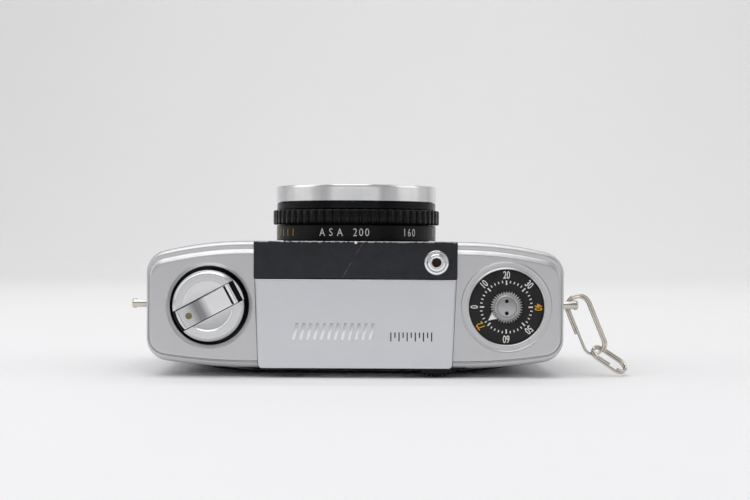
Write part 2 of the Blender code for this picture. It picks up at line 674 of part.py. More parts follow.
def back():
    """Back and base in one piece, with what it carries."""
    outline = body_outline(FRONT, TRAY_BACK, HALF_WIDTH, CORNER, TRAY_BOW)
    inner = body_outline(FRONT + 6, TRAY_BACK + WALL, HALF_WIDTH - WALL, CORNER - WALL, TRAY_BOW)
    cover = slab("back_cover", [outline], DECK, BASE, "top", SATIN)
    above = box("back_above", (-60, -30, SPLIT), (60, BASE - BASE_PLATE, 45))
    hollow = slab("back_hollow", [inner], DECK - 1, BASE - BASE_PLATE)
    cut(hollow, box("back_lip", (-60, DECK - 2, -5), (60, DECK + WALL, LIP_FRONT)))
    button = disc("back_button_hole", 2.0, 25, 35, ADVANCE, steps=24)
    bush_hole = disc("back_bush_hole", 5.6, 25, 35, TRIPOD, steps=32)
    key_hole = disc("back_key_hole", 2.1, 25, 35, REWIND, steps=24)
    key_seat = disc("back_key_seat", 7.3, BASE - 1.1, 35, REWIND, steps=48)
    cut(cover, above, hollow, button, bush_hole, key_hole, key_seat)

    skin = slab(
        "back_leatherette", [body_outline(FRONT, 0.0, HALF_WIDTH - 0.2, CORNER, TRAY_BOW)],
        DECK + 0.5, CASTING_BASE - 0.2, "top", LEATHER,
    )
    cut_outline = body_outline(FRONT + 9, TRAY_BACK - GAP, HALF_WIDTH + 3, CORNER, TRAY_BOW)
    core = slab("back_skin_core", [cut_outline], -30, 35)
    cut(skin, core, box("back_skin_above", (-60, -30, 3.2), (60, 35, 45)))

    plate = box("pressure_plate", (-14, -15, 6.1), (14, 15, FILM_PLANE - 0.3), BLACK)
    arch = [9.0 - 18.0 * i / 10 for i in range(11)]
    upper = [(x, 1.75 + 4.2 * math.cos(math.pi * x / 18)) for x in arch]
    lower = [(x * 0.94, z - 0.35) for x, z in reversed(upper[1:-1])]
    strip = upper + lower
    spring = slab("pressure_spring", [strip], -4, 4, "top", STEEL)

    bush_profile = [(3.2, -25.6), (5.4, -25.6), (5.4, -29.9), (3.2, -29.9)]
    bush = turned("tripod_bush", bush_profile, (TRIPOD[0], 0, TRIPOD[1]), "top", STEEL, 32, ring=True)
    release_body = moving("back_release", (0, BASE, TRIPOD[1]), cover, skin, plate, spring, bush)

    key_profile = [(0, -26.5), (1.9, -26.5), (1.9, -29.0), (7.1, -29.0), (7.1, -29.9), (0, -29.9)]
    key = turned("lock_key", key_profile, (REWIND[0], 0, REWIND[1]), "top", CHROME, 40)
    x, z = REWIND
    join(key, box("key_bar", (x - 5, 26.3, z - 1.2), (x + 5, 27.3, z + 1.2)))
    turn = moving("lock_key_turn", (REWIND[0], BASE, REWIND[1]), key)
    turn.parent = release_body
    turn.matrix_local = Matrix.Translation(Vector((REWIND[0], 0, REWIND[1] - TRIPOD[1])) * MM)

    button_piece = disc("rewind_button", 1.4, 17.6, 29.9, ADVANCE, CHROME, 20)
    moving("rewind_button_press", (ADVANCE[0], BASE, ADVANCE[1]), button_piece)


def lugs_and_links():
    for name, side in (("lug_left", -1), ("lug_right", 1)):
        heights = (side * 52.2, side * 54.2, side * 54.9, side * (LUG_REACH - 0.3), side * LUG_REACH)
        profile = [
            (0, heights[0]), (1.3, heights[0]), (1.3, heights[1]), (2.2, heights[1]), (2.2, heights[2]),
            (1.3, heights[2]), (1.3, heights[3]), (1.0, heights[4]), (0, heights[4]),
        ]
        if side > 0:
            profile.reverse()
        lug = turned(name, profile, (0, LUG_LEVEL, LUG_Z), "right", NICKEL, 24)
        low, high = sorted((side * LUG_SLOT[0], side * LUG_SLOT[1]))
        slot = box(name + "_slot", (low, LUG_LEVEL - 0.85, LUG_Z - 3), (high, LUG_LEVEL + 0.85, LUG_Z + 3))
        cut(lug, slot)

    link = wire_loop("link_large", racetrack(LINK_TOP, LINK_FOOT, LINK_RADIUS), NICKEL)
    swing = moving("link_1_swing", LINK_TOP, link)
    near = HOOK + SMALL_ALONG * SMALL_SHIFT[0] + SMALL_ACROSS * SMALL_SHIFT[1]
    far = near + SMALL_ALONG * SMALL_LENGTH
    small = wire_loop("link_small", racetrack(near, far, SMALL_RADIUS), NICKEL)
    hang = moving("link_2_swing", HOOK, small)
    hang.parent = swing
    hang.matrix_local = Matrix.Translation((HOOK - LINK_TOP) * MM)


top_cover()
block()
finder()
body_casting()
front_skin()
film_gate()
rewind()
counter()
transport()
release()
shutter()
lens()
back()
lugs_and_links()
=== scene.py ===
"""Looks of the half frame camera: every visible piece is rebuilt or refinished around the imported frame.

Sizes are in millimetres and become metres in the helpers. X runs along the body, Z is the lens axis
and -Y is the camera's top, as in the frame. "Level" means a place along Y, "height" a place along Z.
"""

import math

import bmesh
import bpy
from mathutils import Matrix, Vector


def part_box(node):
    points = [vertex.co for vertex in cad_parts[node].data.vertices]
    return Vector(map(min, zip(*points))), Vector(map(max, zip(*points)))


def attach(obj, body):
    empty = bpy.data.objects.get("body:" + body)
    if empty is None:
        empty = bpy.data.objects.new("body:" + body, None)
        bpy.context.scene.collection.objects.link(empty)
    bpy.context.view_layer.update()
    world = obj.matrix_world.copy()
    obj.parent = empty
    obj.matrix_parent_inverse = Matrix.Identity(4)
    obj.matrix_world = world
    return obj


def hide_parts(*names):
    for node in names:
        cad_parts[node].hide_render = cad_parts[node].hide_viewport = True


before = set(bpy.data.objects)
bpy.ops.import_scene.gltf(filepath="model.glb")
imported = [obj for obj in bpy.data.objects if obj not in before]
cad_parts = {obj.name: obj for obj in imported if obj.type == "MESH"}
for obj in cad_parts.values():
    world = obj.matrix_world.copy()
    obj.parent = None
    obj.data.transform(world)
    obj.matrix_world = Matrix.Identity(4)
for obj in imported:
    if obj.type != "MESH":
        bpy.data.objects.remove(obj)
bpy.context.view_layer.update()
MM = 0.001
BODY = "camera_body"


# Places read from the frame


def low(node):
    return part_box(node)[0] / MM


def high(node):
    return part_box(node)[1] / MM


def corners(node):
    return low(node), high(node)


def middle(node):
    return (low(node) + high(node)) / 2


def top_axis(node):
    """X and Z of a round piece that faces the top."""
    place = middle(node)
    return (place.x, place.z)


COVER = (high("top_cover").x, high("top_cover").z, low("top_cover").z)  # half length, front, back
COVER_TOP = -35.0
COVER_CORNER = 6.0
KNOB = top_axis("rewind_knob")
DIAL = top_axis("counter_dial")
BUTTON = top_axis("shutter_button")
WHEEL = top_axis("advance_wheel")
KNOB_R = (high("rewind_knob").x - low("rewind_knob").x) / 2
DIAL_R = (high("counter_dial").x - low("counter_dial").x) / 2
WHEEL_R = (high("advance_wheel").x - low("advance_wheel").x) / 2
KNOB_TOP = low("rewind_knob").y
BLOCK_TOP = low("block_cover").y
CRANK_TURN = math.radians(28.0)
LETTER_EDGE = 38.0  # edges of lettering turned by more than this, in degrees, stay crisp


def rotation(degrees, axis):
    return Matrix.Rotation(math.radians(degrees), 4, axis)


FACE_TOP = rotation(90.0, "X")
FACE_RIGHT = rotation(90.0, "Y")
FACE_LEFT = rotation(-90.0, "Y")
FACE_LENS = Matrix.Identity(4)


# Materials


def srgb(red, green, blue):
    """A colour as the eye names it, 0 to 255, in the renderer's linear values."""
    values = []
    for part in (red, green, blue):
        part /= 255.0
        values.append(part / 12.92 if part <= 0.04045 else ((part + 0.055) / 1.055) ** 2.4)
    return (*values, 1.0)


def shade(colour, factor):
    return (*(min(1.0, part * factor) for part in colour[:3]), 1.0)


def plain(name, colour, roughness, metallic=0.0, ior=1.5):
    material = bpy.data.materials.new(name)
    material.use_nodes = True
    shader = material.node_tree.nodes["Principled BSDF"]
    shader.inputs["Base Color"].default_value = colour
    shader.inputs["Roughness"].default_value = roughness
    shader.inputs["Metallic"].default_value = metallic
    shader.inputs["IOR"].default_value = ior
    return material


def add(material, kind, **settings):
    node = material.node_tree.nodes.new(kind)
    for key, value in settings.items():
        if key in node.inputs:
            node.inputs[key].default_value = value
        else:
            setattr(node, key.lower(), value)
    return node


def join(material, start, end):
    material.node_tree.links.new(start, end)


def place_of(material):
    """Where a point lies in the object."""
    return add(material, "ShaderNodeTexCoord").outputs["Object"]


def scaled(material, per_mm, stretch=(1, 1, 1)):
    """That place, with so many texture features per millimetre along each axis."""
    scale = add(material, "ShaderNodeMapping", Scale=[per_mm / MM * part for part in stretch])
    join(material, place_of(material), scale.inputs["Vector"])
    return scale.outputs["Vector"]


def noise(material, per_mm, detail=3.0, stretch=(1, 1, 1), rough=0.55):
    texture = add(material, "ShaderNodeTexNoise", Scale=1.0, Detail=detail, Roughness=rough)
    join(material, scaled(material, per_mm, stretch), texture.inputs["Vector"])
    return texture.outputs["Fac"]


def cells(material, per_mm, **settings):
    """Distances in a pattern of cells."""
    texture = add(material, "ShaderNodeTexVoronoi", Scale=1.0, **settings)
    join(material, scaled(material, per_mm), texture.inputs["Vector"])
    return texture.outputs["Distance"]


def combine(material, operation, first, second=0.5):
    """Arithmetic on two sides, each of them a socket or a number."""
    node = add(material, "ShaderNodeMath", operation=operation)
    for side, socket in zip((first, second), node.inputs):
        if isinstance(side, float):
            socket.default_value = side
        else:
            join(material, side, socket)
    return node.outputs["Value"]


def measure(material, operation, place, other=(0.0, 0.0, 0.0)):
    """A number from a place: its length, or how far it lies along another direction."""
    node = add(material, "ShaderNodeVectorMath", operation=operation)
    node.inputs[1].default_value = other
    join(material, place, node.inputs[0])
    return node.outputs["Value"]


def spread(material, value, start, end, top=1.0):
    """A value between two places, in millimetres, mapped to 0 up to the top."""
    limits = {"From Min": start * MM, "From Max": end * MM, "To Max": top}
    node = add(material, "ShaderNodeMapRange", **limits)
    join(material, value, node.inputs["Value"])
    return node.outputs["Result"]


def ramp(material, factor, stops):
    """A colour or value ramp; stops are places and colours or numbers."""
    node = add(material, "ShaderNodeValToRGB")
    elements = node.color_ramp.elements
    while len(elements) < len(stops):
        elements.new(0.5)
    for element, (place, value) in zip(elements, stops):
        element.position = place
        element.color = value if isinstance(value, tuple) else (value, value, value, 1.0)
    join(material, factor, node.inputs["Fac"])
    return node.outputs["Color"]


def shader_of(material):
    return material.node_tree.nodes["Principled BSDF"]


def feed(material, socket, source):
    join(material, source, shader_of(material).inputs[socket])


def vary(material, socket, factor, start, end, window=(0.3, 0.7)):
    tones = ramp(material, factor, [(window[0], start), (window[1], end)])
    feed(material, socket, tones)


def bump(material, factor, depth_mm):
    """Adds relief, on top of any relief the material has."""
    node = add(material, "ShaderNodeBump", Strength=1.0, Distance=depth_mm * MM)
    join(material, factor, node.inputs["Height"])
    normal = shader_of(material).inputs["Normal"]
    if normal.links:
        join(material, normal.links[0].from_socket, node.inputs["Normal"])
    join(material, node.outputs["Normal"], normal)


def metal(name, colour, roughness, grain=0.004, tone=0.06, grain_per_mm=3.0, stretch=(1, 1, 1)):
    """Bare or plated metal with a fine grain and slow changes of tone and gloss."""
    material = plain(name, colour, roughness, 1.0)
    slow = noise(material, 0.12, 3.0)
    vary(material, "Base Color", slow, shade(colour, 1 - tone), shade(colour, 1 + tone))
    gloss = noise(material, 0.6, 4.0, stretch)
    vary(material, "Roughness", gloss, roughness * 0.86, roughness * 1.2)
    bump(material, noise(material, grain_per_mm, 2.0, stretch), grain)
    return material


def painted(name, colour, roughness, grain=0.003, tone=0.25):
    """Paint or anodising: a faint mottle in colour and gloss, and a fine surface."""
    material = plain(name, colour, roughness, 0.0, 1.28)
    vary(material, "Base Color", noise(material, 0.5, 4.0), shade(colour, 1 - tone), shade(colour, 1 + tone))
    vary(material, "Roughness", noise(material, 1.3, 4.0), roughness * 0.8, roughness * 1.25)
    bump(material, noise(material, 4.0, 2.0), grain)
    return material


SCRATCH = -15.9  # where the scratch crosses its own slanted axis, in millimetres


def worn_strip():
    """Slate enamel on the strip: chipped to bright metal along its front edge, with one long scratch."""
    paint = srgb(31, 32, 37)
    material = plain("slate_enamel", paint, 0.42, 0.0, 1.38)
    place = place_of(material)
    split = add(material, "ShaderNodeSeparateXYZ")
    join(material, place, split.inputs["Vector"])
    front, top = high("fascia").z, low("fascia").y
    near = spread(material, split.outputs["Z"], front - 0.8, front - 0.02, 0.46)
    shallow = spread(material, split.outputs["Y"], top + 0.5, top + 0.1, 0.46)
    edge = combine(material, "MINIMUM", near, shallow)
    chips = combine(material, "ADD", edge, noise(material, 1.1, 6.0, rough=0.7))
    lean = measure(material, "DOT_PRODUCT", place, (0.86 / MM, 0.0, -0.5 / MM))
    away = combine(material, "ABSOLUTE", combine(material, "SUBTRACT", lean, SCRATCH))
    line = ramp(material, away, [(0.0, 0.28), (0.14, 0.0)])
    patches = ramp(material, noise(material, 0.5, 4.0), [(0.45, 0.0), (0.58, 1.0)])
    scratch = combine(material, "MULTIPLY", line, patches)
    bare = combine(material, "MAXIMUM", ramp(material, chips, [(0.81, 0.0), (0.86, 1.0)]), scratch)
    mottle = ramp(material, noise(material, 0.4, 5.0), [(0.3, shade(paint, 0.8)), (0.7, shade(paint, 1.25))])
    mix = add(material, "ShaderNodeMix", data_type="RGBA")
    join(material, bare, mix.inputs["Factor"])
    join(material, mottle, mix.inputs["A"])
    mix.inputs["B"].default_value = srgb(158, 158, 158)
    feed(material, "Base Color", mix.outputs["Result"])
    feed(material, "Metallic", bare)
    vary(material, "Roughness", noise(material, 1.5, 4.0), 0.33, 0.5)
    bump(material, noise(material, 3.5, 2.0), 0.002)
    return material


def leather():
    """Leatherette: small irregular pebbles with fine creases between them."""
    colour = srgb(38, 38, 40)
    material = plain("leatherette_black", colour, 0.55)
    creases = cells(material, 1.5, feature="DISTANCE_TO_EDGE")
    bump(material, ramp(material, creases, [(0.0, 0.0), (0.28, 1.0)]), 0.09)
    bump(material, noise(material, 5.0, 3.0), 0.012)
    # Darker in the creases between the pebbles: painted shade.
    vary(material, "Base Color", creases, srgb(20, 20, 21), colour, (0.0, 0.2))
    vary(material, "Roughness", noise(material, 1.0, 4.0), 0.45, 0.68)
    return material


def glass(name, tint, roughness=0.02, relief=0.0):
    """Clear or tinted glass; the relief is a grid of small lenses pressed into it."""
    material = plain(name, tint, roughness)
    shader_of(material).inputs["Transmission Weight"].default_value = 0.85
    vary(material, "Roughness", noise(material, 0.5, 3.0), roughness, roughness + 0.04)
    if relief:
        bump(material, cells(material, 0.55, Randomness=0.0), relief)
    return material


def brushed_round(name, colour, roughness, centre):
    """Turned metal: fine rings round an axis that faces the top."""
    material = plain(name, colour, roughness, 1.0)
    flat = add(material, "ShaderNodeMapping", Scale=(1.0, 0.0, 1.0))
    flat.inputs["Location"].default_value = (-centre[0] * MM, 0.0, -centre[1] * MM)
    join(material, place_of(material), flat.inputs["Vector"])
    reach = measure(material, "LENGTH", flat.outputs["Vector"])
    rings = add(material, "ShaderNodeTexNoise", noise_dimensions="1D", Scale=2.2 / MM, Detail=4.0)
    join(material, reach, rings.inputs["W"])
    vary(material, "Base Color", rings.outputs["Fac"], shade(colour, 0.95), shade(colour, 1.04))
    vary(material, "Roughness", rings.outputs["Fac"], roughness * 0.85, roughness * 1.2)
    bump(material, rings.outputs["Fac"], 0.002)
    return material


def arm_metal():
    """The crank's brushed plate, with a darker band painted across it: painted shade where the real arm is
    slightly bent.
    """
    colour = srgb(242, 242, 243)
    material = plain("arm_brushed", colour, 0.24, 1.0)
    axis = (math.cos(CRANK_TURN), 0.0, math.sin(CRANK_TURN))
    centre = KNOB[0] * axis[0] + KNOB[1] * axis[2]
    along = measure(material, "DOT_PRODUCT", place_of(material), axis)
    reach = spread(material, along, centre - 8.5, centre + 7.5)
    # Painted shade: the band darkens the plate where the real arm is slightly bent.
    bend_shade_stops = [(0.0, 0.82), (0.22, 0.64), (0.34, 0.3), (0.42, 0.32), (0.55, 0.95), (1.0, 1.0)]
    tones = ramp(material, reach, [(place, shade(colour, share)) for place, share in bend_shade_stops])
    feed(material, "Base Color", tones)
    vary(material, "Roughness", noise(material, 0.8, 4.0), 0.19, 0.25)
    bump(material, noise(material, 3.0, 3.0, (1, 1, 0.3)), 0.002)
    return material


SATIN = metal("satin_chrome", srgb(205, 205, 206), 0.34, 0.0015, 0.015, 2.5)
RIM = metal("rim_chrome", srgb(232, 232, 232), 0.2, 0.002, 0.03)
PLATE = metal("plate_satin", srgb(219, 220, 223), 0.34, 0.0005, 0.01, 2.5)
CHROME = metal("chrome", srgb(236, 236, 237), 0.13, 0.0015, 0.03)
SATIN_RING = metal("ring_satin", srgb(246, 246, 246), 0.2, 0.002, 0.05, 2.0, (1, 1, 0.08))
NICKEL = metal("nickel", srgb(206, 201, 190), 0.14, 0.002, 0.12, 2.0)
STEEL = metal("steel", srgb(176, 176, 176), 0.3, 0.003, 0.08)
BRASS = metal("brass_dull", srgb(176, 150, 96), 0.32, 0.003, 0.1)
RIVET_METAL = metal("rivet_brown", srgb(128, 122, 98), 0.35, 0.003, 0.15)
BLACK_RING = painted("black_anodised", srgb(13, 13, 14), 0.24, 0.002, 0.2)
BLACK_GLOSS = painted("black_gloss", srgb(6, 6, 7), 0.16, 0.001, 0.2)
BLACK_MATT = painted("black_matt", srgb(15, 15, 16), 0.5, 0.006)
DIAL_BLACK = painted("dial_black", srgb(38, 37, 38), 0.38, 0.002, 0.15)
CAST = painted("cast_black", srgb(40, 40, 42), 0.6, 0.03, 0.3)
WHITE_FILL = painted("white_fill", srgb(228, 226, 222), 0.5, 0.001, 0.05)
ORANGE_FILL = painted("orange_fill", srgb(226, 168, 46), 0.5, 0.001, 0.08)
SLATE = worn_strip()
LEATHER = leather()
WINDOW_GLASS = glass("window_glass", srgb(214, 226, 236))
EYE_GLASS = glass("eye_glass", srgb(96, 86, 88), 0.05)
CELL_GLASS = glass("cell_glass", srgb(228, 232, 236), 0.05, 0.25)
CELL_METAL = metal("cell_gold", srgb(134, 118, 84), 0.35, 0.01, 0.2)


# Shapes


def dress(mesh, material, sharp):
    """A material, and smooth shading with crisp edges."""
    mesh.materials.clear()
    mesh.materials.append(material)
    for face in mesh.polygons:
        face.use_smooth = True
        face.material_index = 0
    mesh.set_sharp_from_angle(angle=math.radians(sharp))


def finish(obj, material, body, replaces=(), sharp=30.0):
    """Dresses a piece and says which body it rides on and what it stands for."""
    dress(obj.data, material, sharp)
    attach(obj, body)
    if replaces:
        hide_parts(*replaces)
    return obj


def show(obj):
    bpy.context.scene.collection.objects.link(obj)
    return obj


def shift(x, y, z):
    return Matrix.Translation(Vector((x, y, z)) * MM)


def from_bmesh(name, build):
    mesh = bpy.data.meshes.new(name)
    work = bmesh.new()
    build(work)
    bmesh.ops.recalc_face_normals(work, faces=work.faces)
    work.to_mesh(mesh)
    work.free()
    return show(bpy.data.objects.new(name, mesh))


def place_mesh(obj, matrix):
    """Moves the mesh itself, so the object stays at the origin and its noise lies in the frame."""
    obj.data.transform(matrix)
    return obj


def lathe(name, profile, centre=(0.0, 0.0), face=FACE_TOP, steps=128, closed=False):
    """A turned piece. The profile holds radii and heights along the axis, outwards from the face."""

    def build(work):
        rings = []
        for radius, height in profile:
            if radius < 1e-6:
                rings.append([work.verts.new((0.0, 0.0, height * MM))])
                continue
            ring = []
            for i in range(steps):
                angle = 2 * math.pi * i / steps
                spot = (radius * math.cos(angle), radius * math.sin(angle), height)
                ring.append(work.verts.new(Vector(spot) * MM))
            rings.append(ring)
        pairs = list(zip(rings, rings[1:]))
        if closed:
            pairs.append((rings[-1], rings[0]))
        for first, second in pairs:
            bridge(work, first, second)

    obj = from_bmesh(name, build)
    spot = Vector((centre[0], 0.0, centre[1])) if face is FACE_TOP else Vector((centre[0], centre[1], 0.0))
    return place_mesh(obj, Matrix.Translation(spot * MM) @ face)


def bridge(work, first, second):
    """Faces between two rings of points; a ring of one point is a tip."""
    count = max(len(first), len(second))
    for i in range(count):
        j = (i + 1) % count
        if len(first) == 1:
            work.faces.new((first[0], second[i], second[j]))
        elif len(second) == 1:
            work.faces.new((first[i], second[0], first[j]))
        else:
            work.faces.new((first[i], first[j], second[j], second[i]))


def loft(name, rings):
    """A closed skin over rings of equal count, capped at both ends."""

    def build(work):
        made = [[work.verts.new(Vector(spot) * MM) for spot in ring] for ring in rings]
        for first, second in zip(made, made[1:]):
            bridge(work, first, second)
        work.faces.new(made[0])
        work.faces.new(list(reversed(made[-1])))

    return from_bmesh(name, build)


def box(name, corner_a, corner_b, bevel=0.0, segments=3):
    a = Vector(corner_a)
    b = Vector(corner_b)

    def build(work):
        bmesh.ops.create_cube(work, size=1.0)
        bmesh.ops.scale(work, vec=(b - a) * MM, verts=work.verts)
        bmesh.ops.translate(work, vec=(a + b) * 0.5 * MM, verts=work.verts)
        if bevel:
            bmesh.ops.bevel(
                work, geom=work.edges[:], offset=bevel * MM, segments=segments, profile=0.5, affect="EDGES"
            )

    return from_bmesh(name, build)


def carve(obj, tools, operation="DIFFERENCE"):
    """Cuts or joins the tools into a mesh, and removes them."""
    for tool in tools:
        step = obj.modifiers.new("carve", "BOOLEAN")
        step.operation = operation
        step.solver = "EXACT"
        step.object = tool
    bpy.context.view_layer.update()
    graph = bpy.context.evaluated_depsgraph_get()
    mesh = bpy.data.meshes.new_from_object(obj.evaluated_get(graph))
    obj.modifiers.clear()
    obj.data = mesh
    for tool in tools:
        bpy.data.objects.remove(tool, do_unlink=True)
    return obj


def lean_with_crank(obj):
    """Turns a mesh about the knob's axis to the crank's angle, counter-clockwise to the viewer."""
    pivot = shift(KNOB[0], 0.0, KNOB[1])
    return place_mesh(obj, pivot @ Matrix.Rotation(-CRANK_TURN, 4, "Y") @ pivot.inverted())


def outline_at(level, points):
    return [(x, level, z) for x, z in points]


def half_side(edge, sign, bow, half, corner):
    """Half of a long side: flat, then bowed away, then the round corner."""
    flat, radius = bow
    fine = 12
    tangent = half - corner
    for _ in range(6):
        slope = math.atan((tangent - flat) / radius)
        tangent = half - corner + corner * math.sin(slope)
    points = [(flat * i / 3, edge) for i in range(1, 3)]
    for i in range(fine + 1):
        x = flat + (tangent - flat) * i / fine
        points.append((x, edge - sign * (x - flat) ** 2 / (2 * radius)))
    centre = points[-1][1] - sign * corner * math.cos(slope)
    for i in range(1, fine + 1):
        angle = (math.pi / 2 - slope) * (1 - i / fine)
        points.append((half - corner + corner * math.cos(angle), centre + sign * corner * math.sin(angle)))
    return points


FRONT_BOW = (27.5, 92.0)
COVER_BOW = (27.0, 141.0)
TRAY_BOW = (22.0, 90.0)


def body_outline(front, back, half, front_corner, back_corner, back_bow):
    upper = half_side(front, 1.0, FRONT_BOW, half, front_corner)
    lower = half_side(back, -1.0, back_bow, half, back_corner)
    right = [(0.0, front)] + upper + lower[::-1] + [(0.0, back)]
    return right + [(-x, z) for x, z in reversed(right[1:-1])]


def arc_points(centre, radius, start, end, count):
    points = []
    for i in range(count + 1):
        angle = start + (end - start) * i / count
        points.append((centre[0] + radius * math.cos(angle), centre[1] + radius * math.sin(angle)))
    return points


def bore(name, centre, radius, start, end, face=FACE_TOP, steps=96):
    """A plain round cutter between two levels, or two heights for the lens face."""
    sign = -1.0 if face is FACE_TOP else 1.0
    profile = [(0.0, sign * start), (radius, sign * start), (radius, sign * end), (0.0, sign * end)]
    return lathe(name, profile, centre, face, steps)


def from_curve(name, curve):
    """A curve or text as a mesh."""
    holder = show(bpy.data.objects.new(name + "_curve", curve))
    bpy.context.view_layer.update()
    mesh = bpy.data.meshes.new_from_object(holder.evaluated_get(bpy.context.evaluated_depsgraph_get()))
    bpy.data.objects.remove(holder, do_unlink=True)
    return show(bpy.data.objects.new(name, mesh))


def lettering(name, text, size, squeeze, weight=0.0):
    """A flat mesh of some characters, centred, reading along X with its top along Y, a little thick."""
    curve = bpy.data.curves.new(name, "FONT")
    curve.body = text
    curve.size = size * MM
    curve.align_x = "CENTER"
    curve.align_y = "CENTER"
    curve.extrude = 0.012 * MM
    curve.offset = weight * MM
    curve.resolution_u = 3
    return place_mesh(from_curve(name, curve), Matrix.Diagonal((squeeze, 1.0, 1.0, 1.0)))


def basis(right, up, out, spot):
    """A placement whose X, Y and Z run along three directions."""
    matrix = Matrix.Identity(4)
    for column, direction in enumerate((right, up, out)):
        for row in range(3):
            matrix[row][column] = direction[row]
    return Matrix.Translation(Vector(spot) * MM) @ matrix


# Top cover


def rim_ring(front_in, front_level, back_in, back_level, end_in):
    """One ring of the cover's rim; its level changes from the back edge's to the front edge's."""
    half, front, back = COVER
    front_corner = COVER_CORNER - 0.4 * (front_in + end_in)
    back_corner = COVER_CORNER - 0.5 * (back_in + end_in)
    points = body_outline(
        front - front_in, back + back_in, half - end_in, front_corner, back_corner, COVER_BOW
    )
    ring = []
    for x, z in points:
        share = min(1.0, max(0.0, (z - back - 6.0) / (front - back - 12.0)))
        share = share * share * (3 - 2 * share)
        ring.append((x, back_level + (front_level - back_level) * share, z))
    return ring


def wing_cover():
    """The two wings with the double ridge along the front edge and the groove along the back edge."""
    half, front, back = COVER
    # how far in from the front edge and the level there, the same for the back edge, and the ends
    steps = [
        (1.0, -22.0, 1.0, -22.0, 1.0), (0.12, -22.05, 0.12, -22.05, 0.12),
        (0.0, -22.2, 0.0, -22.2, 0.0), (0.0, -32.3, 0.0, -32.0, 0.0),
        (0.06, -33.0, 0.1, -32.9, 0.05), (0.25, -33.6, 0.35, -33.6, 0.15),
        (0.55, -34.0, 0.75, -34.0, 0.32), (0.95, -34.22, 1.2, -34.27, 0.5),
        (1.25, -34.25, 1.5, -34.38, 0.62), (1.5, -34.2, 1.6, -34.1, 0.7),
        (2.15, -34.2, 1.74, -34.1, 0.8), (2.25, -34.27, 1.8, -34.45, 0.85),
        (2.5, -34.6, 1.9, -34.7, 1.0), (2.62, -34.66, 1.97, -34.86, 1.06),
        (2.75, -34.7, 2.05, -34.94, 1.12), (3.15, -34.94, 2.2, -34.985, 1.3),
        (3.5, COVER_TOP, 2.45, COVER_TOP, 1.6), (3.6, COVER_TOP, 2.55, COVER_TOP, 1.7),
    ]
    rings = []
    for level, from_edge in ((COVER_TOP + 0.8, 3.6), (COVER_TOP + 2.1, 1.0)):
        corner = 6.0 - from_edge
        inner = body_outline(front - from_edge, back + from_edge, half - from_edge, corner, corner, COVER_BOW)
        rings.append(outline_at(level, inner))
    rings += [rim_ring(*step) for step in steps]
    cover = loft("wing_cover", rings)
    tools = [
        bore("cut_well", KNOB, 11.4, -37, -33),
        bore("cut_dial", DIAL, DIAL_R + 0.08, -37, -33),
        bore("cut_button", BUTTON, 3.05, -37, -33),
        bore("cut_wheel", WHEEL, WHEEL_R + 0.5, -33.5, -29.0),
        box("cut_notch", (-26.4, -37, 33.3), (26.4, -20, 37)),
        box("cut_back_notch", (-25.15, -37, 0), (25.15, -20, 3.6)),
    ]
    carve(cover, tools)
    finish(cover, SATIN, BODY, ["top_cover"], 32.0)

    bezel = [
        (11.82, 34.9), (11.8, 35.05), (11.68, 35.24), (11.5, 35.3), (11.38, 35.27), (11.3, 35.2),
        (11.2, 35.19), (10.35, 35.19), (10.25, 35.2), (10.1, 35.36), (9.95, 35.42), (9.8, 35.34),
        (9.72, 35.2), (9.72, 34.2), (11.82, 34.2),
    ]
    finish(lathe("dial_bezel", bezel, DIAL, closed=True), SATIN, BODY)

    lip = [
        (11.5, 34.9), (11.48, 35.02), (11.36, 35.06), (11.2, 35.03), (10.3, 34.55), (10.2, 34.4),
        (10.2, 33.5), (11.5, 33.5),
    ]
    finish(lathe("well_lip", lip, KNOB, closed=True), SATIN, BODY)

    cup = [(10.2, 34.4), (10.2, 27.6), (3.4, 27.5), (3.4, 26.5), (10.8, 26.5), (10.8, 33.45), (10.25, 34.4)]
    finish(lathe("well_cup", cup, KNOB, closed=True), BLACK_GLOSS, BODY, ["rewind_well"], 35.0)


# Block between the wings


def block_plate():
    """The bright plate with its rounded edges and the wall that runs down its back."""
    front_half, back_half = 26.0, 25.05
    back, strip = low("block_cover").z, high("block_cover").z
    radius = 1.1

    def outline(inset):
        right = [(front_half - inset, strip - inset)]
        corner = (back_half - radius, back + radius)
        right += arc_points(corner, radius - inset, 0.0, -math.pi / 2, 8)
        return right + [(-x, z) for x, z in reversed(right)]

    edge = high("block_cover").y
    rings = [outline_at(edge, outline(0.0))]
    for drop, inset in ((0.42, 0.0), (0.24, 0.05), (0.1, 0.15), (0.03, 0.3), (0.0, 0.5), (0.0, 0.6)):
        rings.append(outline_at(BLOCK_TOP + drop, outline(inset)))
    plate = loft("block_plate", rings)
    sight = middle("eyepiece_lens")
    tools = [
        box("cut_under", (-27, COVER_TOP - 0.1, back + 0.8), (27, -20, 28)),
        box("cut_wheel", (WHEEL[0] - 8.4, -33.4, 0), (WHEEL[0] + 8.4, -29.1, 5)),
        box("cut_sight", (sight.x - 3, sight.y - 2, 0), (sight.x + 3, sight.y + 2, 5)),
    ]
    carve(plate, tools)
    finish(plate, PLATE, BODY, ["block_cover"])
    # A black band round the plate just above the cover: the gap round the plate, with painted shade in it.
    gap_shade_outline = outline(-0.14)
    levels = (COVER_TOP + 0.3, COVER_TOP - 0.02)
    gap_shade = loft("block_gap_shade", [outline_at(level, gap_shade_outline) for level in levels])
    finish(gap_shade, BLACK_MATT, BODY)


def ornament():
    """Slanted embossed flutes in place of a name, and a row of short marks in place of a number."""
    level = BLOCK_TOP
    for i in range(12):
        x = -15.4 + i * 1.78
        bar = box(f"flute_{i}", (-0.4, level - 0.15, 9.9), (0.4, level + 0.3, 14.3), 0.1, 2)
        place_mesh(bar, shift(x, 0, 0) @ slant(0.22, 12.1))
        finish(bar, RIM, BODY)
    for i in range(11):
        x = 9.0 + i * 1.05
        foot = 9.6 if i % 2 == 0 else 10.5
        mark = box(f"tally_{i}", (x, level - 0.012, foot), (x + 0.3, level + 0.04, 11.9))
        finish(mark, BLACK_MATT, BODY)


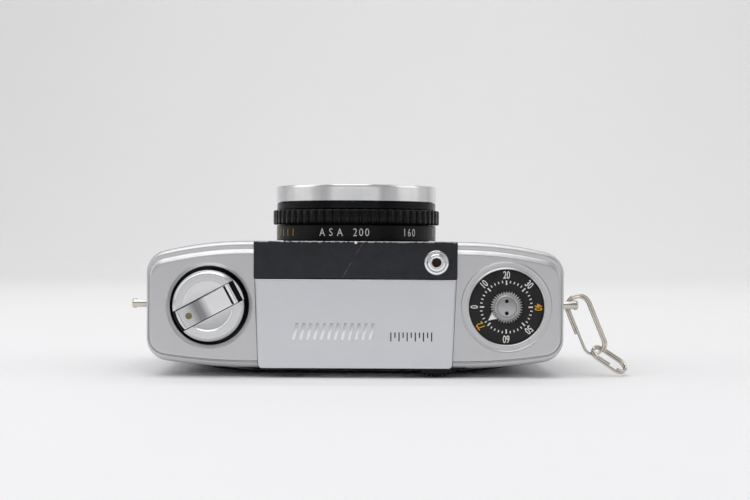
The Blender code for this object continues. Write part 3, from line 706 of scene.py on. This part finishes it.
def slant(amount, about):
    """A lean along X that grows with Z."""
    lean = Matrix.Identity(4)
    lean[0][2] = amount
    lean[0][3] = -amount * about * MM
    return lean


def dark_strip():
    """The slate strip that folds down into the front wall, with its two windows."""
    a, b = corners("fascia")
    strip = box("slate_strip", a, b, 0.3, 4)
    view, helper = middle("viewfinder_window"), middle("frame_window")
    tools = [
        box("cut_inside", (-27, a.y + 0.9, 20), (27, b.y + 2, b.z - 1.2)),
        bore("cut_collar", BUTTON, 3.05, -37, -33),
        box("cut_view", (view.x - 4.5, view.y - 3, 33), (view.x + 4.5, view.y + 3, 38), 0.5),
        box("cut_frame", (helper.x - 4.5, helper.y - 3, 33), (helper.x + 4.5, helper.y + 3, 38), 0.5),
    ]
    carve(strip, tools)
    finish(strip, SLATE, BODY, ["fascia"])
    dot = lathe("index_dot", [(0.0, 0.03), (0.34, 0.03), (0.37, 0.0), (0.0, -0.05)], (0.0, 0.0), FACE_TOP, 24)
    place_mesh(dot, shift(0.0, a.y, b.z - 0.34))
    finish(dot, WHITE_FILL, BODY, sharp=38.0)


# Rewind knob and crank


SLOT_HALF = 2.88
SLOT_FLOOR = KNOB_TOP + 1.15
PASS_FLOOR = KNOB_TOP + 1.65  # the unfolded crank lies through the rim above this
WELL_FLOOR = KNOB_TOP + 2.9  # the crank's tail swings down to here
ARM_HALF = 2.7
ARM_REACH = 8.4
HINGE = 6.75


def arm_outline(half, reach, start):
    """The crank's outline before it is turned: square at the hinge, round at the free end."""
    x, z = KNOB
    fan = math.asin(half / reach)
    points = [(x + start, z - half), (x + start, z + half)]
    return points + arc_points((x, z), reach, math.pi - fan, math.pi + fan, 12)


def rewind_knob():
    """The turned disc, with a slot for the folded crank and a notch for the unfolded one; the slot is lined
    with black sheets as painted shade.
    """
    top = -KNOB_TOP
    foot = -high("rewind_knob").y
    profile = [
        (0.0, top - 0.3), (6.0, top - 0.3), (6.15, top - 0.26), (6.4, top - 0.05), (6.5, top), (6.6, top),
        (8.15, top), (8.25, top), (8.36, top - 0.04), (9.02, top - 0.72), (9.12, top - 0.88),
        (KNOB_R, top - 1.3), (KNOB_R, foot), (0.0, foot),
    ]
    knob = lathe("knob_turned", profile, KNOB, steps=192)
    x, z = KNOB
    half = SLOT_HALF
    grip_spot = (x - 5.75, z)

    def across(name, start, end, upper, lower):
        """A box as wide as the slot, between two places along the crank and two levels."""
        return box(name, (x + start, upper, z - half), (x + end, lower, z + half))

    tools = [
        across("cut_slot", -10, 7.2, KNOB_TOP - 1, SLOT_FLOOR),
        across("cut_hinge", 4.6, 8.55, KNOB_TOP - 1, WELL_FLOOR),
        across("cut_pass", 8.5, 10, KNOB_TOP - 1, PASS_FLOOR),
        bore("cut_pocket", grip_spot, 2.6, -39, -33.1),
    ]
    for tool in tools:
        lean_with_crank(tool)
    carve(knob, tools)
    finish(knob, KNOB_METAL, "rewind_turn", ["rewind_knob"], 25.0)
    # Black sheets on the slot's floor, walls and step, turned with the knob: painted shade in the slot and
    # the hinge pocket.
    half -= 0.01
    shade_outline = arm_outline(half, KNOB_R + 0.01, 5.3)
    floor = loft("slot_painted_shade", [outline_at(KNOB_TOP + 1.2, shade_outline), outline_at(KNOB_TOP + 1.0, shade_outline)])
    carve(floor, [box("cut_floor", (x + 4.7, KNOB_TOP, z - 5), (x + 10, KNOB_TOP + 2, z + 5))])
    shade_linings = [
        across("slot_well_shade", 4.61, 8.54, KNOB_TOP + 2.7, KNOB_TOP + 2.89),
        across("slot_wall_shade", 8.46, 8.54, KNOB_TOP + 1.7, KNOB_TOP + 2.8),
        across("slot_step_shade", 4.61, 4.72, KNOB_TOP + 1.05, KNOB_TOP + 2.8),
    ]
    carve(floor, shade_linings, "UNION")
    carve(floor, [bore("cut_lining", grip_spot, 2.6, -39, -33.1)])
    lean_with_crank(floor)
    finish(floor, BLACK_MATT, "rewind_turn")


def crank_arm():
    """The folding arm: a thin plate with a curved free end, a groove and a rolled hinge end."""
    x, z = KNOB
    under = -37.36
    top = -38.13
    rings = [outline_at(under, arm_outline(ARM_HALF, ARM_REACH, 6.3))]
    for level, inset in ((top + 0.22, 0.0), (top + 0.08, 0.07), (top, 0.22), (top, 0.28)):
        rings.append(outline_at(level, arm_outline(ARM_HALF - inset, ARM_REACH - 1.6 * inset, 6.3 - inset)))
    arm = loft("crank_plate", rings)
    half = ARM_HALF
    roll = lathe("crank_roll", [(0, half), (0.62, half), (0.62, -half), (0, -half)], (0, 0), FACE_LENS, 40)
    place_mesh(roll, shift(x + HINGE, top + 0.64, z))
    carve(arm, [roll], "UNION")
    carve(arm, [box("cut_groove", (x + 5.65, top - 1, z - 3), (x + 6.2, top + 0.5, z + 3))])
    lean_with_crank(arm)
    finish(arm, ARM_METAL, "crank", ["crank_arm"])
    # Thin black strips across the plate near its free end and in the bottom of the groove: painted shade.
    folds = {
        "crank_fold_shade": ((x - 7.62, top - 0.012, z - 2.25), (x - 7.54, top + 0.05, z + 2.25)),
        "crank_groove_shade": ((x + 5.64, top + 0.42, z - 2.6), (x + 6.21, top + 0.55, z + 2.6)),
    }
    for name, ends in folds.items():
        crease_shade = box(name, *ends)
        lean_with_crank(crease_shade)
        finish(crease_shade, BLACK_MATT, "crank")


def crank_details():
    grip = top_axis("crank_handle")
    profile = [
        (0.6, 37.2), (1.7, 37.2), (1.9, 37.0), (1.75, 35.6), (1.9, 33.8), (1.7, 33.6), (0.6, 33.6),
    ]
    handle = lathe("crank_spinner", profile, grip, steps=48, closed=True)
    finish(handle, CHROME, "crank_grip", ["crank_handle"], 35.0)
    profile = [
        (0, 38.3), (0.3, 38.28), (0.42, 38.2), (0.52, 38.22), (0.66, 38.26), (0.8, 38.22), (0.88, 38.12),
        (0.5, 38.1), (0.5, 34), (0, 34),
    ]
    finish(lathe("crank_pin", profile, grip, steps=40), RIVET_METAL, "crank", ["crank_rivet"], 35.0)


# Frame counter


def counter_dial():
    face = -low("counter_dial").y
    back = -high("counter_dial").y
    profile = [
        (0.9, face), (5.5, face), (9.3, face + 0.02), (9.5, face - 0.02), (DIAL_R, face - 0.12),
        (DIAL_R, back), (0.9, back),
    ]
    dial = lathe("dial_disc", profile, DIAL, closed=True)
    finish(dial, DIAL_BLACK, BODY, ["counter_dial"])

    def frame_angle(count):
        return math.pi - math.radians(4.5) * count

    level = -face - 0.03
    for count in range(0, 80, 2):
        tens = count % 10 == 0
        inner, outer, width = (5.75, 6.85, 0.34) if tens else (6.25, 6.85, 0.26)
        tick = box(f"tick_{count}", (inner, level - 0.03, -width / 2), (outer, level + 0.05, width / 2))
        place_mesh(tick, Matrix.Rotation(-frame_angle(count), 4, "Y"))
        place_mesh(tick, shift(DIAL[0], 0, DIAL[1]))
        finish(tick, WHITE_FILL, BODY)
    for count in (0, 10, 20, 30, 40, 50, 60, 72):
        angle = frame_angle(count)
        digits = lettering(f"count_{count}", str(count), 2.75, 0.66, 0.035)
        right = (math.sin(angle), 0, -math.cos(angle))
        up = (math.cos(angle), 0, math.sin(angle))
        spot = (DIAL[0] + 8.2 * up[0], level - 0.01, DIAL[1] + 8.2 * up[2])
        place_mesh(digits, basis(right, up, (0, -1, 0), spot))
        fill = ORANGE_FILL if count in (40, 72) else WHITE_FILL
        finish(digits, fill, BODY, sharp=LETTER_EDGE)


def knurled_outline(centre, root, crest, count):
    points = []
    per = 6
    for i in range(count * per):
        wave = 0.5 + 0.5 * math.cos(2 * math.pi * i / per)
        radius = root + (crest - root) * wave
        angle = 2 * math.pi * i / (count * per)
        points.append((centre[0] + radius * math.cos(angle), centre[1] + radius * math.sin(angle)))
    return points


def counter_pointer():
    centre = DIAL
    top = -35.5
    knurl = [
        (-34.8, 3.8, 4.3), (top + 0.3, 3.7, 4.3), (top + 0.08, 3.35, 4.16), (top - 0.02, 3.3, 3.8),
        (top + 0.1, 3.25, 3.3),
    ]
    rings = [outline_at(level, knurled_outline(centre, root, crest, 36)) for level, root, crest in knurl]
    finish(loft("pointer_knurl", rings), STEEL, "counter", ["counter_pointer"])
    angle = math.radians(216.0)
    tip = loft(
        "pointer_tip",
        [
            outline_at(-34.86, [(4.0, -1.15), (6.2, 0.0), (4.0, 1.15), (2.0, 0.0)]),
            outline_at(-35.2, [(4.0, -0.85), (5.8, 0.0), (4.0, 0.85), (2.0, 0.0)]),
        ],
    )
    place_mesh(tip, Matrix.Rotation(-angle, 4, "Y"))
    place_mesh(tip, shift(centre[0], 0, centre[1]))
    finish(tip, CHROME, "counter")
    profile = [
        (0, 35.86), (2.1, 35.86), (2.26, 35.8), (2.32, 35.5), (2.5, 35.48), (2.62, 35.62), (2.95, 35.64),
        (3.1, 35.56), (3.2, 35.4), (0, 35.4),
    ]
    screw = lathe("pointer_screw", profile, centre, steps=96)
    holes = []
    for i, side in enumerate((-1, 1)):
        spot = (centre[0], centre[1] + side * 1.55)
        holes.append(bore(f"cut_hole_{i}", spot, 0.5, -37, -35.5, steps=32))
        # Black discs near the bottom of the screw's two holes: painted shade.
        hole_shade = lathe(f"hole_{i}", [(0, 35.62), (0.49, 35.62), (0.49, 35.52), (0, 35.52)], spot, steps=32)
        finish(hole_shade, BLACK_MATT, "counter")
    carve(screw, holes)
    finish(screw, STEEL, "counter", ["counter_screw"], 28.0)


# Shutter release


def release():
    profile = [
        (2.45, 36.5), (2.55, 36.6), (2.85, 36.6), (3.08, 36.5), (3.22, 36.28), (3.22, 36.02), (2.95, 36.02),
        (2.95, 33.0), (2.45, 33.0),
    ]
    collar = lathe("button_collar", profile, BUTTON, steps=96, closed=True)
    finish(collar, CHROME, BODY, ["release_collar"])
    profile = [
        (0, 35.4), (0.9, 35.4), (0.95, 36.3), (1.25, 36.9), (1.4, 37.06), (1.75, 37.1), (2.05, 37.05),
        (2.3, 36.85), (2.35, 36.6), (2.35, 33.5), (0, 33.5),
    ]
    button = lathe("button_cap", profile, BUTTON, steps=96)
    finish(button, CHROME, "release", ["shutter_button"])
    thread = lathe("button_thread", [(0, 35.5), (0.9, 35.5), (0.9, 35.42), (0, 35.42)], BUTTON, steps=32)
    brown = painted("thread_dark", srgb(58, 36, 26), 0.5)
    finish(thread, brown, "release", sharp=38.0)


# Lens


def lens_rings():
    a, b = low("scale_band").z, high("scale_band").z
    radius = high("scale_band").x
    bore_r = 20.8
    profile = [
        (bore_r, b), (radius - 0.15, b), (radius, b - 0.15), (radius, a + 0.15), (radius - 0.15, a),
        (bore_r, a),
    ]
    band = lathe("band_black", profile, (0, 0), FACE_LENS, 192, True)
    finish(band, BLACK_RING, "setting_ring", ["scale_band"])

    a, b = low("grip_ring").z, high("grip_ring").z
    crest = high("grip_ring").x
    rings = []
    edges = ((a, 0.35), (a + 0.12, 0.12), (a + 0.35, 0.0), (b - 0.35, 0.0), (b - 0.12, 0.12), (b, 0.35))
    for height, inset in edges:
        points = rib_outline(crest - 0.55, crest, 60, inset)
        rings.append([(x, y, height) for x, y in points])
    grip = loft("grip_ribbed", rings)
    carve(grip, [bore("cut_grip", (0, 0), bore_r, a - 1, b + 1, FACE_LENS, 192)])
    finish(grip, BLACK_RING, "setting_ring", ["grip_ring"], 40.0)

    a, b = low("spacer_ring").z, high("spacer_ring").z
    profile = [(19.75, b), (22.2, b), (22.35, b - 0.15), (22.35, a + 0.1), (22.2, a), (19.75, a)]
    spacer = lathe("spacer_black", profile, (0, 0), FACE_LENS, 192, True)
    finish(spacer, BLACK_GLOSS, BODY, ["spacer_ring"])

    a, b = low("chrome_ring").z, high("chrome_ring").z
    radius = high("chrome_ring").x
    profile = [
        (19.75, b - 0.9), (20.3, b - 0.15), (20.6, b), (22.15, b), (22.38, b - 0.1), (radius, b - 0.35),
        (radius, b - 0.75), (radius - 0.12, b - 0.82), (radius - 0.12, b - 1.0), (radius, b - 1.07),
        (radius, a + 0.25), (radius - 0.2, a), (19.75, a),
    ]
    ring = lathe("ring_front", profile, (0, 0), FACE_LENS, 256, True)
    finish(ring, SATIN_RING, BODY, ["chrome_ring"])


def rib_outline(root, crest, count, inset):
    """Ribs with flat rounded tops and narrow grooves."""
    points = []
    pitch = 2 * math.pi / count
    half = [(0.2, 1.0), (0.3, 0.75), (0.38, 0.0)]
    rib = [(-0.5, 0.0)] + [(-part, lift) for part, lift in reversed(half)] + [(0.0, 1.0)] + half
    for i in range(count):
        for part, lift in rib:
            angle = (i + part) * pitch
            radius = root + (crest - root) * lift - inset
            points.append((radius * math.cos(angle), radius * math.sin(angle)))
    return points


def band_text(name, text, angle, size, fill, pitch):
    """Characters side by side round the band; angles run from the top of the camera towards +X."""
    radius = high("scale_band").x + 0.005
    height = middle("scale_band").z
    count = len(text)
    for i, letter in enumerate(text):
        turn = math.radians(angle) + (i - (count - 1) / 2) * pitch / radius
        piece = lettering(f"{name}_{i}", letter, size, 0.82)
        out = (math.sin(turn), -math.cos(turn), 0)
        right = (math.cos(turn), math.sin(turn), 0)
        spot = (radius * out[0], radius * out[1], height)
        place_mesh(piece, basis(right, (0, 0, 1), out, spot))
        finish(piece, fill, "setting_ring", sharp=LETTER_EDGE)


def band_scale():
    band_text("unit", "ASA", -17.5, 3.0, WHITE_FILL, 2.5)
    speeds = {"200": 3.5, "160": 40.0, "100": 76.0, "80": 112.0, "50": 148.0, "25": 184.0}
    for value, angle in speeds.items():
        band_text("speed_" + value, value, angle, 3.0, WHITE_FILL, 1.62)
    for i in range(4):
        band_text(f"mark_{i}", "I", -50.0 - 6.5 * i, 2.8, ORANGE_FILL, 1.0)


def lens_inside():
    cone = []
    base_r, mouth_r = 6.95, 12.1
    steps = 14
    for i in range(steps + 1):
        share = i / steps
        radius = base_r + (mouth_r - base_r) * share
        height = 45.4 + 3.4 * share
        cone.append((radius, height + (0.12 if i % 2 else 0.0)))
    profile = [(6.95, 43.85)] + cone + [(12.5, 48.8), (12.5, 43.85)]
    inner = lathe("cone_grooved", profile, (0, 0), FACE_LENS, 128, True)
    finish(inner, BLACK_MATT, BODY, ["inner_cone"], 20.0)
    dome = []
    for i in range(13):
        radius = 6.75 * i / 12
        dome.append((radius, 45.2 - 1.35 * (radius / 6.75) ** 2))
    dome += [(6.75, 43.72), (0.0, 43.72)]
    front = lathe("front_glass", dome, (0, 0), FACE_LENS, 96)
    finish(front, COATED_GLASS, BODY, ["front_element"])
    window = [
        (12.7, 48.6), (13.4, 49.1), (14.5, 49.4), (17.8, 49.4), (18.9, 49.1), (19.6, 48.6), (19.6, 47.3),
        (12.7, 47.3),
    ]
    bubble = lathe("cell_bubble", window, (0, 0), FACE_LENS, 128, True)
    finish(bubble, CELL_GLASS, BODY, ["cell_window"], 25.0)


# Straps


def wire(name, points, radius, body, replaces=(), cyclic=True):
    """Nickel wire along a path; an open piece has capped ends."""
    curve = bpy.data.curves.new(name, "CURVE")
    curve.dimensions = "3D"
    curve.bevel_depth = radius * MM
    curve.bevel_resolution = 6
    curve.use_fill_caps = not cyclic
    spline = curve.splines.new("POLY")
    spline.points.add(len(points) - 1)
    for point, spot in zip(spline.points, points):
        point.co = (*(spot * MM), 1.0)
    spline.use_cyclic_u = cyclic
    return finish(from_curve(name, curve), NICKEL, body, replaces, 60.0)


def racetrack(first, second, across, radius, steps=24):
    along = (second - first).normalized()
    points = []
    for centre, turn in ((second, 1.0), (first, -1.0)):
        for i in range(steps + 1):
            angle = math.pi * i / steps
            offset = across * math.cos(angle) + along * math.sin(angle)
            points.append(centre + offset * turn * radius)
    return points


def strand(first, second, across, radius, lift, start, end):
    """Part of a racetrack, lifted out of its plane; start and end are shares of the way round."""
    points = racetrack(first, second, across, radius, 20)
    path = points + [points[0]]
    lengths = [0.0]
    for one, other in zip(path, path[1:]):
        lengths.append(lengths[-1] + (other - one).length)
    spots = []
    for i in range(97):
        reach = (start + (end - start) * i / 96) * lengths[-1]
        j = max(k for k in range(len(path) - 1) if lengths[k] <= reach + 1e-9)
        span = max(1e-9, lengths[j + 1] - lengths[j])
        spots.append(path[j].lerp(path[j + 1], min(1.0, (reach - lengths[j]) / span)) + lift)
    return spots


def links():
    """Two split rings of doubled wire, the small one hooked through the large one."""
    level = middle("link_large").y
    top = Vector((59.4, level, 18.1))
    foot = Vector((63.43, level, 8.25))
    along = (foot - top).normalized()
    across = Vector((along.z, 0.0, -along.x))
    rise = Vector((0.0, 0.1, 0.0))
    inner = racetrack(top, foot, across, 2.68)
    wire("link_upper", inner, 0.37, "link_large", ["link_large"])
    outer = strand(top, foot, across, 3.3, rise, 0.16, 0.9)
    wire("link_overlap", outer, 0.36, "link_large", cyclic=False)

    hook = Vector((65.4, level, 6.0))
    along = Vector((0.8307, -0.0982, -0.548))
    across = Vector((-0.3603, -0.8452, -0.3948))
    lift = along.cross(across).normalized() * 0.35
    near = hook + along * 0.3 + across * 0.65
    far = near + along * 4.8
    one = [spot + lift for spot in racetrack(near, far, across, 2.6)]
    wire("link_lower", one, 0.37, "link_small", ["link_small"])
    other = strand(near, far, across, 2.6, -lift, 0.02, 0.93)
    wire("link_lower_coil", other, 0.37, "link_small", cyclic=False)

    for name, side in (("lug_left", -1), ("lug_right", 1)):
        lug = lug_turned(name, side)
        finish(lug, NICKEL, BODY, [name])


def lug_turned(node, side):
    """A strap lug: collar, pin with a rounded tip, and the slot through it."""
    place = middle(node)
    tip = high(node).x if side > 0 else -low(node).x
    profile = [
        (0, tip), (0.7, tip), (1.05, tip - 0.1), (1.27, tip - 0.4), (1.3, tip - 0.6), (1.3, 55.1),
        (1.5, 54.9), (2.0, 54.8), (2.2, 54.6), (2.2, 54.2), (1.3, 54.15), (1.3, 52.2), (0, 52.2),
    ]
    obj = lathe(node + "_turned", profile, (0, 0), FACE_LENS, 64)
    turn = FACE_RIGHT if side > 0 else FACE_LEFT
    place_mesh(obj, shift(0, place.y, place.z) @ turn)
    a, b = sorted((side * 55.15, side * 58.2))
    slot = box("cut_" + node, (a, place.y - 0.85, place.z - 3), (b, place.y + 0.85, place.z + 3), 0.3)
    return carve(obj, [slot])


# Wheel, skins and the back


def thumb_wheel():
    a, b = low("advance_wheel").y, high("advance_wheel").y
    rings = []
    edges = ((b, 0.45), (b - 0.3, 0.05), (b - 0.5, 0.0), (a + 0.5, 0.0), (a + 0.3, 0.05), (a, 0.45))
    for level, drop in edges:
        rings.append(outline_at(level, knurled_outline(WHEEL, WHEEL_R - 0.35 - drop, WHEEL_R - drop, 72)))
    wheel = loft("wheel_knurled", rings)
    carve(wheel, [bore("cut_wheel_bore", WHEEL, 1.6, a - 1, b + 1)])
    finish(wheel, BLACK_RING, "advance", ["advance_wheel"], 40.0)


def tray():
    """Back and base: an L of sheet metal with soft edges, hollow behind the film."""
    a, b = corners("back_cover")
    half = b.x
    base_in = b.y - 2.0

    def outline(inset):
        return body_outline(b.z - inset, a.z + inset, half - inset, 6.0 - inset, 6.0 - inset, TRAY_BOW)

    lip = a.y + 0.5
    edges = [
        (0.25, lip), (0.08, lip + 0.08), (0.0, lip + 0.25), (0.0, b.y - 1.2), (0.1, b.y - 0.7),
        (0.35, b.y - 0.28), (0.75, b.y - 0.06), (1.2, b.y),
    ]
    cover = loft("tray_shell", [outline_at(level, outline(inset)) for inset, level in edges])
    inner = body_outline(b.z + 6, a.z + 1, half - 1, 5.0, 5.0, TRAY_BOW)
    hollow = loft("cut_hollow", [outline_at(lip + 0.5, inner), outline_at(base_in, inner)])
    # A black band on the tray's upper lip, under the cover's overhang: painted shade.
    lip_shade = loft("tray_lip_shade", [outline_at(a.y, outline(0.35)), outline_at(lip, outline(0.35))])
    carve(lip_shade, [box("cut_lip_shade", (-60, -30, 3.4), (60, base_in, 45))])
    finish(lip_shade, BLACK_MATT, "back")
    button, bush, key = top_axis("rewind_button"), top_axis("tripod_bush"), top_axis("lock_key")
    tools = [
        box("cut_above", (-60, -30, 8.0), (60, base_in, 45)),
        hollow,
        bore("cut_base_button", button, 2.0, 25, 35),
        bore("cut_bush", bush, 5.6, 25, 35),
        bore("cut_key", key, 2.1, 25, 35),
        bore("cut_key_seat", key, 7.3, b.y - 1.1, 35),
    ]
    carve(cover, tools)
    finish(cover, SATIN, "back", ["back_cover"], 32.0)
    profile = [(0, -29.9), (6.8, -29.9), (7.1, -29.6), (7.1, -29.0), (1.9, -29.0), (1.9, -26.5), (0, -26.5)]
    key_disc = lathe("key_disc", profile, key, steps=96)
    slot = box("cut_key_slot", (key[0] - 5.5, 29.3, key[1] - 0.9), (key[0] + 5.5, 31, key[1] + 0.9), 0.2)
    carve(key_disc, [slot])
    bar = box("key_bar", (key[0] - 5, 26.3, key[1] - 1.2), (key[0] + 5, 27.3, key[1] + 1.2), 0.15)
    carve(key_disc, [bar], "UNION")
    key_metal = brushed_round("key_metal", srgb(206, 206, 206), 0.24, key)
    finish(key_disc, key_metal, "back_lock", ["lock_key"])


def refinish():
    """Carried-over frame nodes keep their shape and get these finishes."""
    finishes = {
        LEATHER: ["front_leatherette", "back_leatherette"],
        CAST: ["body_casting"],
        STEEL: [
            "film_gate", "rewind_shaft", "crank_hinge_pin", "sprocket_shaft", "sprocket_top", "sprocket_base",
            "release_rod", "shutter_blade_a", "shutter_blade_b", "pressure_spring", "tripod_bush",
        ],
        CHROME: ["rewind_button"],
        BRASS: ["rewind_sleeve", "sprocket_gear", "spool_gear"],
        BLACK_MATT: [
            "viewfinder_tube", "eyepiece_frame", "shutter_housing", "lens_mount", "cell_carrier",
            "lens_barrel", "pressure_plate", "take_up_spool",
        ],
        WINDOW_GLASS: ["viewfinder_window", "frame_window", "rear_element"],
        EYE_GLASS: ["eyepiece_lens"],
        CELL_METAL: ["selenium_cell"],
    }
    for material, names in finishes.items():
        for name in names:
            dress(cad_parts[name].data, material, 32.0)


# Studio


def backdrop():
    """A pale sweep: a floor that curves up into a wall far behind."""
    curve_r = 500.0
    reach = 900.0
    profile = [(-900.0, 0.0), (reach, 0.0)]
    for i in range(1, 13):
        angle = math.radians(7.5 * i)
        profile.append((reach + curve_r * math.sin(angle), curve_r - curve_r * math.cos(angle)))
    profile.append((reach + curve_r, 2500.0))

    def build(work):
        left = [work.verts.new(Vector((-2200.0, y, z)) * MM) for y, z in profile]
        right = [work.verts.new(Vector((2200.0, y, z)) * MM) for y, z in profile]
        for i in range(len(profile) - 1):
            work.faces.new((left[i], left[i + 1], right[i + 1], right[i]))

    sweep = from_bmesh("paper_sweep", build)
    for face in sweep.data.polygons:
        face.use_smooth = True
    paper = plain("paper_white", (0.9, 0.9, 0.91, 1.0), 0.8)
    grey = (0.895, 0.895, 0.905, 1.0)
    white = (0.905, 0.905, 0.915, 1.0)
    vary(paper, "Base Color", noise(paper, 0.004, 2.0), grey, white)
    sweep.data.materials.append(paper)


def soft_box(name, spot, target, size, power, colour=(1.0, 1.0, 1.0)):
    light = bpy.data.lights.new(name, "AREA")
    light.shape = "RECTANGLE"
    light.size = size[0] * MM
    light.size_y = size[1] * MM
    light.energy = power
    light.color = colour
    lamp = show(bpy.data.objects.new(name, light))
    lamp.location = Vector(spot) * MM
    lamp.rotation_euler = (Vector(target) - Vector(spot)).to_track_quat("-Z", "Y").to_euler()


def studio():
    """A bright room that is darker behind the viewer, with large soft lights round the camera."""
    world = bpy.data.worlds.new("studio_air")
    world.use_nodes = True
    split = add(world, "ShaderNodeSeparateXYZ")
    join(world, add(world, "ShaderNodeTexCoord").outputs["Generated"], split.inputs["Vector"])
    depth = add(world, "ShaderNodeMapRange", **{"From Min": -1.0})
    join(world, split.outputs["Y"], depth.inputs["Value"])
    stops = [(0.0, (0.15, 0.155, 0.165, 1.0)), (0.1, (0.28, 0.28, 0.29, 1.0)), (0.4, (0.52, 0.52, 0.53, 1.0))]
    tones = ramp(world, depth.outputs["Result"], stops)
    join(world, tones, world.node_tree.nodes["Background"].inputs["Color"])
    bpy.context.scene.world = world
    soft_box("overhead", (-150, -120, 900), (-150, 0, 0), (1000, 420), 2.1)
    soft_box("front_key", (-150, -760, 880), (-150, 0, 0), (900, 620), 2.9)
    soft_box("left_window", (-860, -150, 520), (0, -150, 40), (700, 900), 1.35)
    soft_box("right_window", (900, -200, 380), (0, -200, 20), (700, 600), 0.7)
    soft_box("front_fill", (-50, -1100, 160), (-50, 0, 20), (1500, 320), 0.62)
    soft_box("backdrop_wash", (220, 500, 1000), (220, 1150, 100), (1500, 300), 4.6, (1.0, 0.985, 0.94))
    bpy.context.scene.view_settings.view_transform = "Standard"


def camera():
    """Looks straight at the top of the camera from a little above the floor."""
    lens = bpy.data.cameras.new("view")
    lens.lens = 67.2
    lens.sensor_width = 36.0
    lens.clip_start = 0.01
    lens.clip_end = 20.0
    eye = show(bpy.data.objects.new("view", lens))
    look_down, roll_by, turn_by = 0.29, 0.32, -0.6
    aim = rotation(turn_by, "Z") @ rotation(90.0 - look_down, "X") @ rotation(roll_by, "Z")
    eye.matrix_world = shift(1.18, -396.0, 34.9) @ aim
    bpy.context.scene.camera = eye


KNOB_METAL = brushed_round("knob_turned_metal", srgb(220, 220, 221), 0.22, KNOB)
ARM_METAL = arm_metal()
COATED_GLASS = glass("coated_glass", srgb(196, 190, 226))

wing_cover()
block_plate()
ornament()
dark_strip()
rewind_knob()
crank_arm()
crank_details()
counter_dial()
counter_pointer()
release()
lens_rings()
band_scale()
lens_inside()
links()
thumb_wheel()
tray()
refinish()
backdrop()
studio()
camera()
